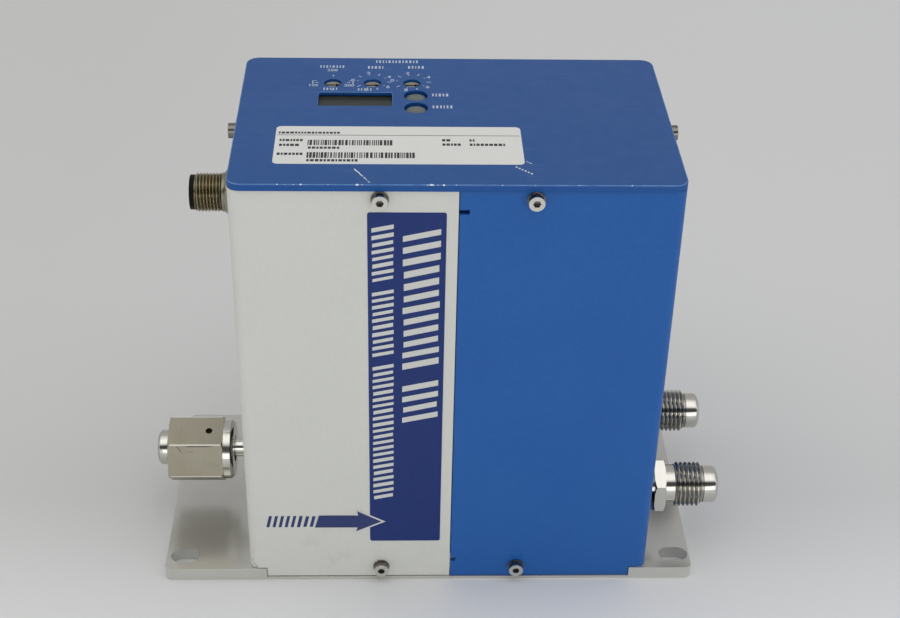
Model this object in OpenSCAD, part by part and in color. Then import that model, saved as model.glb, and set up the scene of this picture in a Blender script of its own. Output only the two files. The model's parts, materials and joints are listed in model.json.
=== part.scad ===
// Flow ratio controller: one gas inlet, a manifold that splits the flow into two
// sensed and valved legs, two outlets, and the electronics, in a two-piece folded
// sheet housing on a slotted base plate. Millimetres, Z up.
// Origin: underside of the base plate, on the centre of the housing.
// The inlet is on the left (-X), the outlets on the right, the printed face is -Y.

/* [Housing] */
// Width across the two covers
housing_w = 126.8; // [120:0.1:140]
// Depth across the two covers
housing_d = 80; // [80:1:90]
// Height from the mounting surface to the top of the lid
overall_h = 145; // [138:1:165]
// Thickness of the cover sheet
sheet_t = 1.2; // [0.8:0.1:1.6]
// Outer radius of the covers' bends
bend_r = 3; // [2:0.5:4]
// Clearance between the covers and the plate, pad and lid they close on
sheet_gap = 0.15; // [0.1:0.05:0.3]
// Width of the open line between the two covers
seam_gap = 0.3; // [0.2:0.1:0.6]
// Place of the seam, measured from the middle of the front
seam_x = 0.4; // [-4:0.2:4]
// Width of the strip on the right cover that backs the seam
lap_w = 9; // [6:1:14]
// Distance of the strip's ends from the covers' top and bottom edges
lap_end = 7.3; // [7.3:0.1:12]
// Width of the relief notch over the strip's upper end
relief_w = 2.9; // [2:0.1:5]
// Width of the smaller notch near the foot of the seam
foot_relief_w = 1.7; // [1:0.1:3]
// Height of the lower notch over the mounting surface
foot_relief_z = 7.2; // [5:0.1:8.5]
// Height of both notches
relief_h = 1.5; // [1:0.1:2.5]

/* [Lid] */
// How far the lid runs past the covers at the front and rear
lid_over = 0.5; // [0:0.1:1.5]
// How far the lid runs past the covers' two sides
lid_over_side = 0.1; // [0:0.1:1.5]
// Thickness of the lid's plate
lid_t = 2.2; // [2:0.1:3]
// Corner radius of the lid
lid_r = 4; // [2:0.5:6]
// Thickness of the rim under the lid that the covers are screwed to
rim_t = 5; // [4.5:0.1:6]
// Height of that rim
rim_h = 7; // [6:0.5:8]
// Length of the display window
window_w = 22; // [18:0.5:23]
// Height of the display window
window_d = 8.9; // [7:0.1:9.5]
// Diameter of the two indicator holes
indicator_hole_d = 7.2; // [6:0.1:7.5]
// Gap round each indicator's lens
indicator_gap = 0.5; // [0.3:0.1:0.8]
// Gap round each switch's rotor in the lid
switch_gap = 0.35; // [0.3:0.05:1]

/* [Base plate] */
// How far the plate runs past the covers on the left
plate_left = 27.1; // [20:0.1:32]
// How far the plate runs past the covers on the right
plate_right = 15; // [14:0.1:32]
// How far the plate runs past the covers at the front and rear
plate_over = 0.5; // [0:0.1:8]
// Thickness of the plate's ends
plate_t = 4.4; // [3:0.1:6]
// Height of the raised pad above the ends
pad_h = 5.1; // [4:0.1:7]
// Corner radius of the plate
plate_r = 2; // [1:0.5:4]
// Overall length of a mounting slot
slot_l = 9.3; // [8:0.1:10]
// Width of a mounting slot
slot_w = 6.1; // [5:0.1:6.5]
// Distance of the left slots' centres from the plate's end
slot_end_left = 6; // [5.5:0.1:8]
// Distance of the right slots' centres from the plate's end
slot_end_right = 5.2; // [5.2:0.1:8]
// Distance of the slots' centres from the plate's front and rear edges
slot_edge_y = 6.6; // [5:0.1:9]
// Height of the covers' lower edge over the mounting surface, front and rear
tongue_z = 1.2; // [0.5:0.1:2.5]
// Inset of that lower edge from the covers' sides
tongue_inset = 5.5; // [4:0.5:10]

/* [Manifold] */
// Inset of the manifold block from the covers' sides
block_inset = 7.4; // [6.5:0.1:8]
// Gap between the manifold block and the cover's inner face at the front
block_gap_front = 5.3; // [4:0.1:7]
// Gap between the manifold block and the cover's inner face at the rear
block_gap_rear = 15.3; // [15:0.1:18]
// Height of the manifold block
block_h = 33; // [30:0.5:36]
// Distance of each leg's axis from the block's front or rear face
leg_wall = 9; // [8.5:0.1:10]
// Diameter of the bores that hold the bypass elements
bypass_bore_d = 13; // [11:0.5:14]
// Diameter of the other gas passages
passage_d = 5; // [3:0.5:5.5]
// Diameter of the sensor and valve ports
port_d = 2; // [1.5:0.1:2.4]
// Length of the plug that closes a bypass bore
plug_l = 7; // [6:0.5:8]

/* [Couplings] */
// Major diameter of the outlet thread, nine sixteenths of an inch
thread_d = 14.29; // [13:0.01:15]
// Length of the outlet thread
thread_l = 8.65; // [7:0.05:11]
// Diameter of the outlet's nose
nose_d = 11.9; // [10:0.1:12.5]
// Length of the outlet's nose
nose_l = 5.1; // [4:0.1:7]
// Diameter of the stem and shoulder on either side of the outlet's hexagon
shoulder_d = 12.6; // [11:0.1:13]
// Length of that shoulder
shoulder_l = 3.2; // [2:0.1:4]
// Size across the flats of the outlet's hexagon
outlet_af = 16.2; // [15.9:0.1:17]
// Thickness of that hexagon
outlet_hex_t = 3.6; // [3.4:0.1:6]
// Distance from the cover to the outlet's hexagon
outlet_hex_gap = 2.1; // [1:0.1:5]
// Outer diameter of the inlet tube, a quarter of an inch
tube_d = 6.35; // [6:0.01:6.5]
// Gas bore of the inlet and outlets
gas_bore_d = 4.6; // [3:0.1:4.8]
// Reach of the inlet from the cover to its sealing face
inlet_reach = 31; // [30:0.1:36]
// Diameter of the gland's head
gland_d = 11.4; // [10:0.1:12]
// Length of the inlet nut
nut_l = 21; // [20:0.1:23]
// Size across the flats of the inlet nut
nut_af = 19.7; // [18.5:0.05:20]
// Length of the round collar at the back of the nut
collar_l = 3.3; // [2.5:0.1:4]
// Distance from the cover to the back of the nut
nut_gap = 6.4; // [4:0.1:8]
// Clearance between the tube and the top of the hole in the nut that hangs on it
nut_play = 0.3; // [0.3:0.05:0.4]
// How far the nut's axis hangs below the tube's
nut_drop = 0.8; // [0:0.1:1]

/* [Connector] */
// Distance of the connector's axis from the covers' rear
connector_rear = 30; // [26:0.5:36]
// Distance of the connector's axis below the top of the lid
connector_drop = 31.2; // [28:0.1:34]
// Major diameter of the connector's thread
connector_d = 12; // [11:0.1:12.5]
// Reach of the connector's shell from the cover
connector_reach = 15.1; // [14:0.1:20]
// Length of the connector's hexagon
connector_hex_t = 5.2; // [4:0.1:7]
// Size across the flats of the connector's hexagon
connector_af = 12.8; // [12.6:0.1:16]
// Thickness of the seal under the hexagon
seal_t = 0.8; // [0.5:0.1:1.2]

/* [Screws] */
// Diameter of the cover screws' heads
head_d = 4.5; // [4:0.1:4.8]
// Height of those heads
head_h = 2.1; // [1.8:0.1:3]
// Diameter of the cover screws' shanks
shank_d = 2.5; // [2:0.1:2.8]
// Length of those shanks under the washer
shank_l = 5; // [4:0.5:5.5]
// Outer diameter of the lock washers
washer_d = 5.1; // [5:0.1:5.2]
// Thickness of the lock washers
washer_t = 0.6; // [0.4:0.1:0.8]
// Distance of the front and rear screws from the middle
screw_x = 21.5; // [15:0.5:30]
// Distance of the upper screws below the top of the lid
screw_drop = 4.8; // [4.8:0.1:5.2]
// Height of the lower screws over the mounting surface
screw_low_z = 5.3; // [4.8:0.1:5.8]

/* [Controls] */
// Distance of the left switch from the covers' left side
switch_left = 27.2; // [26:0.1:30]
// Spacing of the three switches
switch_pitch = 12; // [11:0.1:12.5]
// Distance of the switches from the covers' rear
switch_rear = 17.5; // [16:0.1:19]
// Diameter of a switch's rotor
rotor_d = 4.7; // [4:0.1:5]
// Side of a switch's square case
switch_w = 9.6; // [9:0.1:10]
// Distance of the display's middle from the covers' left side
display_left = 34.2; // [32:0.1:35]
// Distance of the display's middle from the covers' rear
display_rear = 28.3; // [28.2:0.1:29.5]
// Distance of the indicators from the covers' left side
indicator_left = 52.3; // [51:0.1:54]
// Distance from the covers' rear to the indicator nearest the printed face
indicator_rear = 34; // [33:0.1:34.2]
// Spacing of the two indicators
indicator_pitch = 8.1; // [7.8:0.1:9]
// Distance from the lid to the board under it
board_drop = 8.2; // [8:0.1:10]
// Thickness of the two circuit boards
board_t = 1.6; // [1:0.1:2]

/* [Printed pieces] */
// Width of the white label on the lid
label_w = 70.7; // [60:0.1:75]
// Height of the white label on the lid
label_d = 22.6; // [20:0.1:24]
// Distance of the label from the covers' left side
label_left = 11.75; // [8:0.05:16]
// Distance of the label from the covers' front
label_front = 10.9; // [8:0.1:12]
// Thickness of the label and the banner
film_t = 0.12; // [0.1:0.01:0.2]
// Width of the dark banner on the left cover
banner_w = 22; // [18:0.5:24]
// Distance of the banner from the seam
banner_seam = 3.4; // [2:0.1:6]
// Distance of the banner's ends from the top and the mounting surface
banner_top = 9; // [8:0.5:14]
banner_foot = 16; // [12:0.5:20]

/* [Hidden] */
$fn = 64;
joint_play = 0.3;
screw_play = 0.05;
slot_hole_r = slot_w / 2;

inner_w = housing_w - 2 * sheet_t;
inner_d = housing_d - 2 * sheet_t;
side_x = housing_w / 2;
front_y = -housing_d / 2;
rear_y = housing_d / 2;
plate_d = housing_d + 2 * plate_over;
slot_spacing_y = plate_d - 2 * slot_edge_y;
lid_z0 = overall_h - lid_t;
rim_z0 = lid_z0 - rim_h;
rim_w = inner_w - 2 * sheet_gap;
rim_d = inner_d - 2 * sheet_gap;
cover_hole_d = shank_d + 0.4;
cover_z0 = plate_t + sheet_gap;
cover_z1 = lid_z0 - sheet_gap;
tongue_half = side_x - tongue_inset;
lap_z0 = cover_z0 + lap_end;
lap_z1 = cover_z1 - lap_end;
screw_high_z = overall_h - screw_drop;
pad_top = plate_t + pad_h;

// Manifold block and its legs
block_l = housing_w - 2 * block_inset;
block_x = block_l / 2;
block_d = inner_d - block_gap_front - block_gap_rear;
block_y = (block_gap_front - block_gap_rear) / 2;
leg_spacing = block_d - 2 * leg_wall;
block_top = pad_top + block_h;
port_z = pad_top + block_h / 2;
leg_front_y = block_y - leg_spacing / 2;
leg_rear_y = block_y + leg_spacing / 2;
gallery_plug_d = 9;
gallery_plug_l = 5;
gallery_socket = 4;
plug_socket = 6;
plug_socket_depth = 4;
gallery_x = plug_l - block_x + 1 + gallery_plug_d / 2;
bypass_slot_w = 0.8;
bypass_slot_depth = 2.5;
stud_d = 10.8;
stud_l = 8;
flare_h = 0.6;

// Sensor over each bypass element
sensor_port_reach = 9;
sensor_port_inset = 2;
sensor_x = gallery_x + gallery_plug_d / 2 + 5 + sensor_port_reach - sensor_port_inset;
bypass_x0 = sensor_x - sensor_port_reach + sensor_port_inset;
bypass_x1 = sensor_x + sensor_port_reach - sensor_port_inset;
bypass_bore_end = bypass_x1 + 6;
sensor_l = 24;
sensor_w = 14;
sensor_h = 26;
sensor_foot_l = 36;
sensor_foot_t = 3;
sensor_screw_reach = 15;
sensor_ring_r = 2.2;
sensor_ring_s = 0.9;

// Valve over each leg
valve_x = 22;
valve_flange_l = 24;
valve_flange_w = 17;
valve_flange_t = 4;
valve_screw_x = 9;
valve_screw_y = 5.5;
valve_port_x = valve_x - 4.5;
core_d = 11;
core_top = block_top + 38;
chamber_d = 8.4;
chamber_top = block_top + 22;
chamber_foot_d = 12;
chamber_foot_h = 1.4;
plunger_d = 7.6;
plunger_travel = 0.4;
plunger_flute = 0.8;
plunger_l = chamber_top - block_top - 2 * joint_play - plunger_travel - 0.6;
coil_d = 22;
coil_z0 = block_top + valve_flange_t + 3.6;
coil_h = 23;
coil_plug_h = 8;
coil_plug_reach = 4;
coil_play = 0.4;
valve_nut_af = 14;
valve_nut_t = 4;
valve_ring_r = 7.2;
valve_ring_s = 1.2;

// Screws of the manifold: cap screws of 3 mm
cap_head_d = 5.5;
cap_head_h = 3;
cap_shank_d = 3;
cap_shank_l = 9;
cap_socket = 2.5;
cap_socket_depth = 1.6;
cap_hole_play = 0.4;

// Screws that hold the block to the plate from below
block_screw_d = 5;
block_screw_head_d = 9.4;
block_screw_head_h = 2.8;
block_screw_sunk = 0.3;
block_screw_socket = 3;
block_screw_grip = 9;
block_screw_x = block_x - 6;
block_screw_y = block_d / 2 - 5;

// Inlet fitting and nut
inlet_y = block_y;
inlet_hex_t = 4;
inlet_tip_x = -side_x - inlet_reach;
gland_l = 4.4;
gland_chamfer = 0.8;
nut_back_x = -side_x - nut_gap;
nut_front_x = nut_back_x - nut_l;
nut_bore_d = thread_d + 0.3;
nut_bore_l = 12.5;
nut_hole_r = tube_d / 2 + nut_drop + nut_play;
nut_z = port_z - nut_drop;
nut_corner_r = nut_af / 2 / cos(30);
collar_d = nut_af;
collar_chamfer = 1;
nut_turn = 45.6;
test_port_d = 2.2;
test_port_back = 7.9;
test_port_angle = 74.4;
inlet_hole_d = 2 * nut_corner_r + 1;

// Outlet fittings
outlet_hex_x = side_x + outlet_hex_gap;
shoulder_x = outlet_hex_x + outlet_hex_t;
thread_x = shoulder_x + shoulder_l;
nose_x = thread_x + thread_l;
outlet_tip_x = nose_x + nose_l;
nose_chamfer = 0.9;
hex_chamfer = 0.5;
outlet_corner_r = outlet_af / 2 / cos(30);
outlet_hole_d = 2 * outlet_corner_r + 1.4;
outlet_front_turn = 58;
outlet_rear_turn = 22;

// Connector
connector_y = rear_y - connector_rear;
connector_z = overall_h - connector_drop;
connector_tip_x = -side_x - connector_reach;
connector_hex_x = -side_x - seal_t - connector_hex_t;
connector_tail = 7;
connector_turn = 54;
connector_seal_d = connector_af / cos(30);
connector_bore_d = connector_d - 2;
connector_nut_af = 17;
connector_nut_t = 3;
insert_lip_d = connector_d - 1.2;
insert_lip_l = 1.5;
socket_d = 8.4;
socket_l = 8;
key_w = 1.2;
pin_d = 1;
pin_l = 7;
pin_circle_r = 2.65;
pin_count = 4;

// Display board and the pieces on it
switch_x = switch_left - side_x;
switch_y = rear_y - switch_rear;
display_x = display_left - side_x;
display_y = rear_y - display_rear;
indicator_x = indicator_left - side_x;
indicator_y = rear_y - indicator_rear;
interface_top = lid_z0 - board_drop;
interface_w = 48;
interface_d = 31;
interface_x = (display_x + indicator_x) / 2 - 3.85;
interface_y = display_y + 4.8;
standoff_d = 4.4;
standoff_inset = 2.6;
standoff_hole_d = 2.5;
pocket_depth = 1;
pocket_margin = 1.6;
display_margin = 1.2;
display_top = lid_z0 + pocket_depth - joint_play;
lens_rim_z = overall_h - 1.2;
lens_dome = 0.8;
lens_r = indicator_hole_d / 2 - indicator_gap;
switch_case_top = lid_z0 - 0.8;
rotor_well = 2.6;
rotor_h = 4.5;
rotor_slot_w = 0.9;
rotor_slot_depth = 1;

// Main board and its bracket
bracket_t = 1.5;
bracket_y1 = inner_d / 2 - sheet_t - 1.6;
bracket_side_gap = 10.2;
bracket_w = inner_w - 2 * bracket_side_gap;
bracket_foot = 9.6;
bracket_top = rim_z0 - 8;
main_standoff_l = 4;
main_board_y = bracket_y1 - bracket_t - main_standoff_l - board_t;
main_board_w = bracket_w - 4;
main_board_z0 = block_top + 4;
main_board_z1 = bracket_top - 2;
main_screw_inset = 4;
ribbon_w = 20;
ribbon_t = 1;
ribbon_x = interface_x;
header_h = 5;
header_drop = 12;
header_z = 6;
capacitor_xs = [for (i = [0 : 2]) ribbon_x + 18 + 10 * i];
capacitor_drop = 8;
capacitor_d = 6.5;
capacitor_l = 8.5;
// Chips on the main board: left edge, lower edge under the board's top, width, height, thickness
main_chips = [[-34, -30, 12, 10, 2], [4, -32, 14, 14, 2.4], [-12, -34, 10, 14, 2], [22, -22, 14, 9, 6],
    [22, -38, 14, 9, 6], [-34, -46, 8, 10, 2], [22, -54, 9, 12, 2]];
pan_head_h = 1.8;
lead_d = 4;
lead_bend_r = 10;

// Label and banner
label_x = label_left + label_w / 2 - side_x;
label_y = front_y + label_front + label_d / 2;
label_r = 1.5;
banner_x = seam_x - banner_seam - banner_w / 2;
banner_h = overall_h - banner_top - banner_foot;
banner_z = banner_foot + banner_h / 2;
banner_r = 0.7;

// Cover screws: place of the seat on the cover and the way the head faces
head_socket = 2;
head_socket_depth = 1.3;
washer_split = 0.5;
washer_split_turn = 130;
screw_seats = concat(
    [for (x = [-screw_x, screw_x], z = [screw_low_z, screw_high_z]) [x, front_y, z, 0]],
    [for (x = [-screw_x, screw_x], z = [screw_low_z, screw_high_z]) [x, -front_y, z, 180]],
    [[side_x, 0, screw_high_z, 90], [-side_x, 0, screw_high_z, 270]]);
leg_ys = [leg_front_y, leg_rear_y];
switch_xs = [for (i = [0 : 2]) switch_x + i * switch_pitch];
indicator_ys = [indicator_y, indicator_y + indicator_pitch];
interface_corners = [for (sx = [-1, 1], sy = [-1, 1])
    [interface_x + sx * (interface_w / 2 - standoff_inset),
     interface_y + sy * (interface_d / 2 - standoff_inset)]];
main_corners = [for (x = [-1, 1], z = [main_board_z0 + main_screw_inset, main_board_z1 - main_screw_inset])
    [x * (main_board_w / 2 - main_screw_inset), z]];

// Helpers

module rounded_rect(w, d, r) {
    square([w, d - 2 * r], center = true);
    square([w - 2 * r, d], center = true);
    for (x = [-1, 1], y = [-1, 1])
        translate([x * (w / 2 - r), y * (d / 2 - r)]) circle(r);
}

module slab(w, d, h, r) {
    linear_extrude(h) rounded_rect(w, d, r);
}

// Turns a profile of [radius, x] points about an axis along X
module turned_x(y, z, profile) {
    translate([0, y, z]) rotate([0, 90, 0]) rotate_extrude() polygon(profile);
}

module rod_x(x0, x1, y, z, d) {
    translate([x0, y, z]) rotate([0, 90, 0]) cylinder(h = x1 - x0, d = d);
}

module hex_x(x0, x1, y, z, af, turn) {
    translate([x0, y, z]) rotate([0, 90, 0]) rotate([0, 0, turn])
        cylinder(h = x1 - x0, d = af / cos(30), $fn = 6);
}

module ring(r, s) {
    rotate_extrude() translate([r, 0]) circle(d = s);
}

// Puts a piece drawn along -Y, head outwards, on each cover screw's seat
module at_screw_seats() {
    for (seat = screw_seats)
        translate([seat[0], seat[1], seat[2]]) rotate([0, 0, seat[3]]) children();
}

// Base plate and manifold

module base_plate() color("silver") difference() {
    union() {
        translate([(plate_right - plate_left) / 2, 0, 0]) difference() {
            slab(housing_w + plate_left + plate_right, plate_d, plate_t, plate_r);
            // Set back where the covers' lower edges lap over the plate, down to a ledge under them
            for (side = [-1, 1])
                translate([(plate_left - plate_right) / 2 - tongue_half - sheet_gap,
                           side > 0 ? rim_d / 2 : -rim_d / 2 - plate_d, tongue_z - sheet_gap])
                    cube([2 * (tongue_half + sheet_gap), plate_d, plate_t]);
        }
        slab(rim_w, rim_d, pad_top, bend_r - sheet_t);
    }
    for (x = [slot_end_left - side_x - plate_left, side_x + plate_right - slot_end_right], side = [-1, 1])
        translate([x, side * slot_spacing_y / 2, -1]) linear_extrude(plate_t + 2) {
            for (end = [-1, 1])
                translate([end * (slot_l - slot_w) / 2, 0]) circle(slot_hole_r);
            square([slot_l - slot_w, slot_w], center = true);
        }
    block_screw_solids(-1, screw_play);
    cover_screw_bores();
}

// Tapped holes for the cover screws, drawn in both pieces that take them
module cover_screw_bores() {
    at_screw_seats() rotate([-90, 0, 0])
        cylinder(h = shank_l + 1, d = shank_d + 2 * screw_play);
}

// The four countersunk screws, or with a clearance the holes that take them
module block_screw_solids(low_z, grow) {
    for (x = [-block_screw_x, block_screw_x], y = [-1, 1])
        translate([x, block_y + y * block_screw_y, 0]) rotate_extrude() polygon([
            [0, low_z],
            [block_screw_head_d / 2 + grow, low_z],
            [block_screw_head_d / 2 + grow, block_screw_sunk + 0.4 + grow],
            [block_screw_d / 2 + grow, block_screw_sunk + block_screw_head_h],
            [block_screw_d / 2 + grow, pad_top + block_screw_grip],
            [0, pad_top + block_screw_grip]]);
}

module block_screws() color("dimgray") difference() {
    block_screw_solids(block_screw_sunk, 0);
    for (x = [-block_screw_x, block_screw_x], y = [-1, 1])
        translate([x, block_y + y * block_screw_y, 0])
            cylinder(h = block_screw_sunk + 2, d = block_screw_socket / cos(30), $fn = 6);
}

module manifold_block() color("lightsteelblue") difference() {
    translate([-block_x, block_y - block_d / 2, pad_top]) cube([block_l, block_d, block_h]);
    block_screw_solids(-1, screw_play);
    // Inlet passage and the cross gallery that feeds both legs
    rod_x(-block_x - 1, stud_l - block_x, inlet_y, port_z, stud_d + 2 * screw_play);
    rod_x(-block_x, gallery_x, inlet_y, port_z, passage_d);
    translate([gallery_x, block_y - block_d / 2 - 1, port_z]) rotate([-90, 0, 0]) {
        cylinder(h = gallery_plug_l + 1, d = gallery_plug_d + 2 * screw_play);
        cylinder(h = block_d / 2 + 1 + leg_spacing / 2, d = passage_d);
    }
    for (y = leg_ys) {
        rod_x(-block_x - 1, bypass_bore_end, y, port_z, bypass_bore_d);
        rod_x(bypass_bore_end - 1, valve_port_x, y, port_z, passage_d);
        rod_x(valve_x - port_d / 2, block_x, y, port_z, passage_d);
        rod_x(block_x - stud_l, block_x + 1, y, port_z, stud_d + 2 * screw_play);
        for (x = [sensor_x - sensor_port_reach, sensor_x + sensor_port_reach, valve_port_x, valve_x])
            translate([x, y, port_z]) cylinder(h = block_h, d = port_d);
        for (p = manifold_screw_places(y))
            translate([p[0], p[1], block_top - 7]) cylinder(h = 8, d = cap_shank_d + 2 * screw_play);
    }
}

// Places of the cap screws on one leg: [x, y, height of the seat over the block]
function manifold_screw_places(y) = concat(
    [for (s = [-1, 1]) [sensor_x + s * sensor_screw_reach, y, sensor_foot_t]],
    [for (sx = [-1, 1], sy = [-1, 1])
        [valve_x + sx * valve_screw_x, y + sy * valve_screw_y, valve_flange_t]]);

module manifold_screws() color("gray")
    for (y = leg_ys, p = manifold_screw_places(y))
        translate([p[0], p[1], block_top + p[2]]) difference() {
            union() {
                cylinder(h = cap_head_h, d = cap_head_d);
                translate([0, 0, -cap_shank_l]) cylinder(h = cap_shank_l, d = cap_shank_d);
            }
            translate([0, 0, cap_head_h - cap_socket_depth])
                cylinder(h = 2, d = cap_socket / cos(30), $fn = 6);
        }

// Laminar flow element: a round plug with fine slots along it for the main flow
module bypass_element(y) color("gainsboro") difference() {
    rod_x(bypass_x0, bypass_x1, y, port_z, bypass_bore_d - 2 * screw_play);
    for (a = [0 : 30 : 330])
        translate([bypass_x0 - 1, y, port_z]) rotate([a, 0, 0])
            translate([0, -bypass_slot_w / 2, bypass_bore_d / 2 - bypass_slot_depth])
                cube([bypass_x1 - bypass_x0 + 2, bypass_slot_w, 2 * bypass_slot_depth]);
}

module bypass_plugs() color("gray") for (y = leg_ys) difference() {
    rod_x(-block_x, plug_l - block_x, y, port_z, bypass_bore_d - 2 * screw_play);
    hex_x(-block_x - 1, plug_socket_depth - block_x, y, port_z, plug_socket, 0);
}

module gallery_plug() color("gray") difference() {
    translate([gallery_x, block_y - block_d / 2, port_z]) rotate([-90, 0, 0])
        cylinder(h = gallery_plug_l, d = gallery_plug_d);
    translate([gallery_x, block_y - block_d / 2 - 1, port_z]) rotate([-90, 0, 0])
        cylinder(h = gallery_plug_l - 1, d = gallery_socket / cos(30), $fn = 6);
}

module sensor(y) color("darkslategray") difference() {
    union() {
        translate([sensor_x, y, block_top]) slab(sensor_foot_l, sensor_w, sensor_foot_t, 2);
        translate([sensor_x, y, block_top]) slab(sensor_l, sensor_w, sensor_h, 1.5);
    }
    for (s = [-1, 1]) {
        translate([sensor_x + s * sensor_screw_reach, y, block_top - 1])
            cylinder(h = sensor_foot_t + 2, d = cap_shank_d + cap_hole_play);
        translate([sensor_x + s * sensor_port_reach, y, block_top - 1]) {
            cylinder(h = sensor_h - 4, d = port_d);
            cylinder(h = 1 + sensor_ring_s, r = sensor_ring_r + sensor_ring_s / 2 + screw_play);
        }
    }
}

// Valve: a flanged core tube with the plunger's chamber, and the coil pushed over it
module valve_core(y) color("silver") difference() {
    translate([valve_x, y, block_top]) union() {
        slab(valve_flange_l, valve_flange_w, valve_flange_t, 2);
        cylinder(h = core_top - block_top, d = core_d);
    }
    translate([valve_x, y, block_top - 1]) {
        cylinder(h = chamber_top - block_top + 1, d = chamber_d);
        cylinder(h = 1 + chamber_foot_h, d = chamber_foot_d);
        difference() {
            cylinder(h = 1 + valve_ring_s, r = valve_ring_r + valve_ring_s / 2 + screw_play);
            cylinder(h = 2 + valve_ring_s, r = valve_ring_r - valve_ring_s / 2 - screw_play);
        }
    }
    for (sx = [-1, 1], sy = [-1, 1])
        translate([valve_x + sx * valve_screw_x, y + sy * valve_screw_y, block_top - 1])
            cylinder(h = valve_flange_t + 2, d = cap_shank_d + cap_hole_play);
}

module valve_plunger(y) color("lightgray") translate([valve_x, y, block_top + joint_play]) difference() {
    cylinder(h = plunger_l, d = plunger_d);
    for (a = [0, 180])
        rotate([0, 0, a]) translate([plunger_d / 2 - plunger_flute, -0.6, -1])
            cube([2, 1.2, plunger_l + 2]);
}

module valve_coil(y) color("darkolivegreen") translate([valve_x, y, coil_z0]) difference() {
    union() {
        cylinder(h = coil_h, d = coil_d);
        translate([0, -coil_d / 4, 0]) cube([coil_d / 2 + coil_plug_reach, coil_d / 2, coil_plug_h]);
    }
    translate([0, 0, -1]) cylinder(h = coil_h + 2, d = core_d + coil_play);
}

module valve_nuts() color("silver") for (y = leg_ys)
    translate([valve_x, y, coil_z0 + coil_h]) difference() {
        cylinder(h = valve_nut_t, d = valve_nut_af / cos(30), $fn = 6);
        translate([0, 0, -1]) cylinder(h = valve_nut_t + 2, d = core_d + 2 * screw_play);
    }

module port_seals() color("black") for (y = leg_ys) {
    translate([valve_x, y, block_top + valve_ring_s / 2]) ring(valve_ring_r, valve_ring_s);
    for (s = [-1, 1])
        translate([sensor_x + s * sensor_port_reach, y, block_top + sensor_ring_s / 2])
            ring(sensor_ring_r, sensor_ring_s);
}

// Couplings

module inlet_fitting() color("lightgray") difference() {
    union() {
        rod_x(-block_x, stud_l - block_x, inlet_y, port_z, stud_d);
        hex_x(-block_x - inlet_hex_t, -block_x, inlet_y, port_z, outlet_af, 0);
        turned_x(inlet_y, port_z, [
            [0, inlet_tip_x],
            [gland_d / 2 - gland_chamfer, inlet_tip_x],
            [gland_d / 2, inlet_tip_x + gland_chamfer],
            [gland_d / 2, inlet_tip_x + gland_l],
            [tube_d / 2, inlet_tip_x + gland_l + (gland_d - tube_d) / 2],
            [tube_d / 2, -block_x],
            [0, -block_x]]);
        // Raised sealing bead on the gland's face
        translate([inlet_tip_x, inlet_y, port_z]) rotate([0, 90, 0])
            ring((gas_bore_d + gland_d) / 4, flare_h);
    }
    rod_x(inlet_tip_x - 1, stud_l - block_x + 1, inlet_y, port_z, gas_bore_d);
}

module inlet_nut() color("tan") difference() {
    union() {
        intersection() {
            hex_x(nut_front_x, nut_back_x - collar_l, inlet_y, nut_z, nut_af, nut_turn);
            turned_x(inlet_y, nut_z, [
                [0, nut_front_x],
                [nut_corner_r - 0.7, nut_front_x],
                [nut_corner_r + 0.1, nut_front_x + 0.8],
                [nut_corner_r + 0.1, nut_back_x - collar_l - 0.6],
                [nut_corner_r - 0.6, nut_back_x - collar_l],
                [0, nut_back_x - collar_l]]);
        }
        turned_x(inlet_y, nut_z, [
            [0, nut_back_x - collar_l - 1],
            [collar_d / 2, nut_back_x - collar_l - 1],
            [collar_d / 2, nut_back_x - collar_chamfer],
            [collar_d / 2 - collar_chamfer, nut_back_x],
            [0, nut_back_x]]);
    }
    turned_x(inlet_y, nut_z, [
        [0, nut_front_x - 1],
        [nut_bore_d / 2, nut_front_x - 1],
        [nut_bore_d / 2, nut_front_x + nut_bore_l],
        [nut_hole_r, nut_front_x + nut_bore_l + nut_bore_d / 2 - nut_hole_r],
        [nut_hole_r, nut_back_x + 1],
        [0, nut_back_x + 1]]);
    // Leak test port through one flat
    translate([nut_back_x - test_port_back, inlet_y, nut_z]) rotate([90 - test_port_angle, 0, 0])
        cylinder(h = nut_af, d = test_port_d);
}

module outlet_fitting(y, turn) color("lightgray") difference() {
    union() {
        rod_x(block_x - stud_l, block_x, y, port_z, stud_d);
        intersection() {
            hex_x(outlet_hex_x, shoulder_x, y, port_z, outlet_af, turn);
            turned_x(y, port_z, [
                [0, outlet_hex_x],
                [outlet_corner_r - 2 * hex_chamfer, outlet_hex_x],
                [outlet_corner_r + 0.1, outlet_hex_x + hex_chamfer],
                [outlet_corner_r + 0.1, shoulder_x - hex_chamfer],
                [outlet_corner_r - 2 * hex_chamfer, shoulder_x],
                [0, shoulder_x]]);
        }
        turned_x(y, port_z, [
            [0, block_x],
            [shoulder_d / 2, block_x],
            [shoulder_d / 2, thread_x],
            [thread_d / 2 - 0.5, thread_x],
            [thread_d / 2, thread_x + 0.5],
            [thread_d / 2, nose_x - 0.5],
            [thread_d / 2 - 0.5, nose_x],
            [nose_d / 2, nose_x],
            [nose_d / 2, outlet_tip_x - nose_chamfer],
            [nose_d / 2 - nose_chamfer, outlet_tip_x],
            [0, outlet_tip_x]]);
        translate([outlet_tip_x, y, port_z]) rotate([0, 90, 0])
            ring((gas_bore_d + nose_d) / 4, flare_h);
    }
    rod_x(block_x - stud_l - 1, outlet_tip_x + 1, y, port_z, gas_bore_d);
}

// Housing

// Plan of the folded sheet: a closed ring of wall, cut at the seam
module sheet_plan() {
    difference() {
        rounded_rect(housing_w, housing_d, bend_r);
        rounded_rect(inner_w, inner_d, bend_r - sheet_t);
    }
}

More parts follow.
